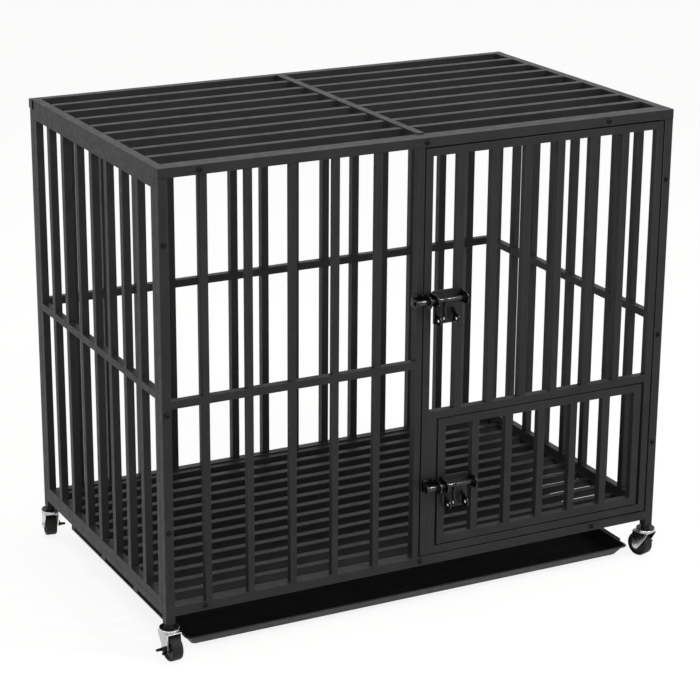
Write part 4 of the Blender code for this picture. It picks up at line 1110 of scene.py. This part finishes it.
def seen_rays(tree):
    """1 for rays that show what is behind the crate: straight on, mirrored or through glass."""
    path = add_node(tree, "ShaderNodeLightPath").outputs
    pair = {0: path["Is Camera Ray"], 1: path["Is Glossy Ray"]}
    seen = add_node(tree, "ShaderNodeMath", pair, operation="MAXIMUM")
    pair = {0: seen.outputs[0], 1: path["Is Transmission Ray"]}
    return add_node(tree, "ShaderNodeMath", pair, operation="MAXIMUM").outputs[0]


def stage():
    """Pale floor, white surround, soft lamps and the camera."""
    scene = bpy.context.scene
    scene.view_settings.view_transform = "Standard"

    mesh = bpy.data.meshes.new("floor")
    corners = [(x * FLOOR_HALF, y * FLOOR_HALF, 0) for x, y in ((-1, -1), (1, -1), (1, 1), (-1, 1))]
    mesh.from_pydata(corners, [], [(0, 1, 2, 3)])
    floor = bpy.data.objects.new("studio_floor", mesh)
    scene.collection.objects.link(floor)
    material = bpy.data.materials.new("paper, matte white sweep")
    tree = empty_tree(material)
    paper = add_node(tree, "ShaderNodeBsdfDiffuse", {"Color": scene.crate_colours.floor})
    glow = add_node(tree, "ShaderNodeEmission", {"Color": (1, 1, 0.995, 1), "Strength": 1})
    share = add_node(tree, "ShaderNodeMath", {0: seen_rays(tree), 1: FLOOR_WHITE}, operation="MULTIPLY")
    pair = {0: share.outputs[0], 1: paper.outputs[0], 2: glow.outputs[0]}
    mix = add_node(tree, "ShaderNodeMixShader", pair)
    add_node(tree, "ShaderNodeOutputMaterial", {"Surface": mix.outputs[0]})
    mesh.materials.append(material)

    scene.world = bpy.data.worlds.new("studio")
    tree = empty_tree(scene.world)
    white = add_node(tree, "ShaderNodeBackground", {"Color": (1, 1, 1, 1), "Strength": 1})
    grey = add_node(tree, "ShaderNodeBackground", {"Color": (1, 1, 1, 1), "Strength": SKY_STRENGTH})
    pair = {0: seen_rays(tree), 1: grey.outputs[0], 2: white.outputs[0]}
    mix = add_node(tree, "ShaderNodeMixShader", pair)
    add_node(tree, "ShaderNodeOutputWorld", {"Surface": mix.outputs[0]})

    for name, place, width, power in LAMPS:
        lamp = bpy.data.lights.new(name, "AREA")
        lamp.shape = "SQUARE"
        lamp.size = width
        lamp.energy = power
        item = bpy.data.objects.new(name, lamp)
        scene.collection.objects.link(item)
        item.location = place
        item.rotation_mode = "QUATERNION"
        item.rotation_quaternion = (Vector(LAMP_AIM) - Vector(place)).to_track_quat("-Z", "Y")

    azimuth, elevation, roll = (math.radians(angle) for angle in CAMERA_ANGLES)
    level = Vector((math.cos(azimuth), -math.sin(azimuth), 0))
    flat = math.cos(elevation)
    forward = Vector((math.sin(azimuth) * flat, math.cos(azimuth) * flat, -math.sin(elevation)))
    upright = level.cross(forward)
    right = math.cos(roll) * level + math.sin(roll) * upright
    up = math.cos(roll) * upright - math.sin(roll) * level
    data = bpy.data.cameras.new("camera")
    data.sensor_width = SENSOR
    data.lens = FOCAL * SENSOR / PICTURE
    data.shift_x = (PICTURE / 2 - LENS_AXIS[0]) / PICTURE
    data.shift_y = (LENS_AXIS[1] - PICTURE / 2) / PICTURE
    camera = bpy.data.objects.new("camera", data)
    scene.collection.objects.link(camera)
    turn = Matrix((right, up, -forward)).transposed().to_4x4()
    camera.matrix_world = Matrix.Translation(at(*CAMERA_PLACE)) @ turn
    scene.camera = camera


class DOGCRATE_OT_front_panel(bpy.types.Operator):
    """Build the front panel"""
    bl_idname = "dog_crate.front_panel"
    bl_label = "Front Panel"

    def execute(self, context):
        front_panel()
        return {"FINISHED"}


class DOGCRATE_OT_rear_panel(bpy.types.Operator):
    """Build the rear panel"""
    bl_idname = "dog_crate.rear_panel"
    bl_label = "Rear Panel"

    def execute(self, context):
        rear_panel()
        return {"FINISHED"}


class DOGCRATE_OT_side_panels(bpy.types.Operator):
    """Build both side panels"""
    bl_idname = "dog_crate.side_panels"
    bl_label = "Side Panels"

    def execute(self, context):
        side_panel("left_panel", tuple)
        side_panel("right_panel", mirrored)
        return {"FINISHED"}


class DOGCRATE_OT_top_panel(bpy.types.Operator):
    """Build the slatted top"""
    bl_idname = "dog_crate.top_panel"
    bl_label = "Top Panel"

    def execute(self, context):
        top_panel()
        return {"FINISHED"}


class DOGCRATE_OT_floor_panel(bpy.types.Operator):
    """Build the slatted floor"""
    bl_idname = "dog_crate.floor_panel"
    bl_label = "Floor Panel"

    def execute(self, context):
        floor_panel()
        return {"FINISHED"}


class DOGCRATE_OT_end_plugs(bpy.types.Operator):
    """Build the plugs in the rear top rail"""
    bl_idname = "dog_crate.end_plugs"
    bl_label = "End Plugs"

    def execute(self, context):
        end_plugs()
        return {"FINISHED"}


class DOGCRATE_OT_main_door(bpy.types.Operator):
    """Build the main door"""
    bl_idname = "dog_crate.main_door"
    bl_label = "Main Door"

    def execute(self, context):
        main_door()
        return {"FINISHED"}


class DOGCRATE_OT_feeding_door(bpy.types.Operator):
    """Build the feeding door"""
    bl_idname = "dog_crate.feeding_door"
    bl_label = "Feeding Door"

    def execute(self, context):
        feeding_door()
        return {"FINISHED"}


class DOGCRATE_OT_pivots(bpy.types.Operator):
    """Build the pins and washers of both doors"""
    bl_idname = "dog_crate.pivots"
    bl_label = "Door Pivots"

    def execute(self, context):
        pivot("main_door", "cage", DOOR_X, DOOR_Z, DOOR_GAP)
        pivot("feeding_door", "main_door", FEED_X, FEED_Z, FEED_GAP)
        return {"FINISHED"}


class DOGCRATE_OT_panel_screws(bpy.types.Operator):
    """Build the screws of the panels"""
    bl_idname = "dog_crate.panel_screws"
    bl_label = "Panel Screws"

    def execute(self, context):
        panel_screws()
        return {"FINISHED"}


class DOGCRATE_OT_latches(bpy.types.Operator):
    """Build both slide bolts"""
    bl_idname = "dog_crate.latches"
    bl_label = "Latches"

    def execute(self, context):
        latch("main_latch", UPPER_LATCH, "main_door", "cage", "main_flag", "main_bolt")
        latch("feeding_latch", LOWER_LATCH, "feeding_door", "main_door", "feeding_flag", "feeding_bolt")
        return {"FINISHED"}


class DOGCRATE_OT_tray(bpy.types.Operator):
    """Build the pull-out tray"""
    bl_idname = "dog_crate.tray"
    bl_label = "Tray"

    def execute(self, context):
        tray()
        return {"FINISHED"}


class DOGCRATE_OT_runners(bpy.types.Operator):
    """Build the tray's runners"""
    bl_idname = "dog_crate.runners"
    bl_label = "Runners"

    def execute(self, context):
        runners()
        return {"FINISHED"}


class DOGCRATE_OT_casters(bpy.types.Operator):
    """Build the four casters"""
    bl_idname = "dog_crate.casters"
    bl_label = "Casters"

    def execute(self, context):
        for number, (end, back, heading) in enumerate(CASTERS, 1):
            caster(number, end, back, heading)
        return {"FINISHED"}


class DOGCRATE_OT_stage(bpy.types.Operator):
    """Build the floor, the lamps and the camera"""
    bl_idname = "dog_crate.stage"
    bl_label = "Stage"

    def execute(self, context):
        stage()
        return {"FINISHED"}


OPERATORS = (
    DOGCRATE_OT_front_panel, DOGCRATE_OT_rear_panel, DOGCRATE_OT_side_panels, DOGCRATE_OT_top_panel,
    DOGCRATE_OT_floor_panel, DOGCRATE_OT_end_plugs, DOGCRATE_OT_main_door, DOGCRATE_OT_feeding_door,
    DOGCRATE_OT_pivots, DOGCRATE_OT_panel_screws, DOGCRATE_OT_latches, DOGCRATE_OT_tray, DOGCRATE_OT_runners,
    DOGCRATE_OT_casters, DOGCRATE_OT_stage,
)


class DOGCRATE_PT_panel(bpy.types.Panel):
    """Lists the crate's pieces."""
    bl_label = "Dog Crate"
    bl_idname = "DOGCRATE_PT_panel"
    bl_space_type = "VIEW_3D"
    bl_region_type = "UI"
    bl_category = "Dog Crate"

    def draw(self, context):
        for group in (context.scene.crate_sizes, context.scene.crate_colours):
            for name in group.__annotations__:
                self.layout.prop(group, name)
        for operator in OPERATORS:
            self.layout.operator(operator.bl_idname)


CLASSES = (CrateSizes, CrateColours, DOGCRATE_PT_panel) + OPERATORS


def register():
    for item in CLASSES:
        bpy.utils.register_class(item)
    bpy.types.Scene.crate_sizes = PointerProperty(type=CrateSizes)
    bpy.types.Scene.crate_colours = PointerProperty(type=CrateColours)


def unregister():
    del bpy.types.Scene.crate_colours
    del bpy.types.Scene.crate_sizes
    for item in reversed(CLASSES):
        bpy.utils.unregister_class(item)


def main():
    register()
    for operator in OPERATORS:
        getattr(bpy.ops.dog_crate, operator.bl_idname.split(".")[1])()


if __name__ == "__main__":
    main()
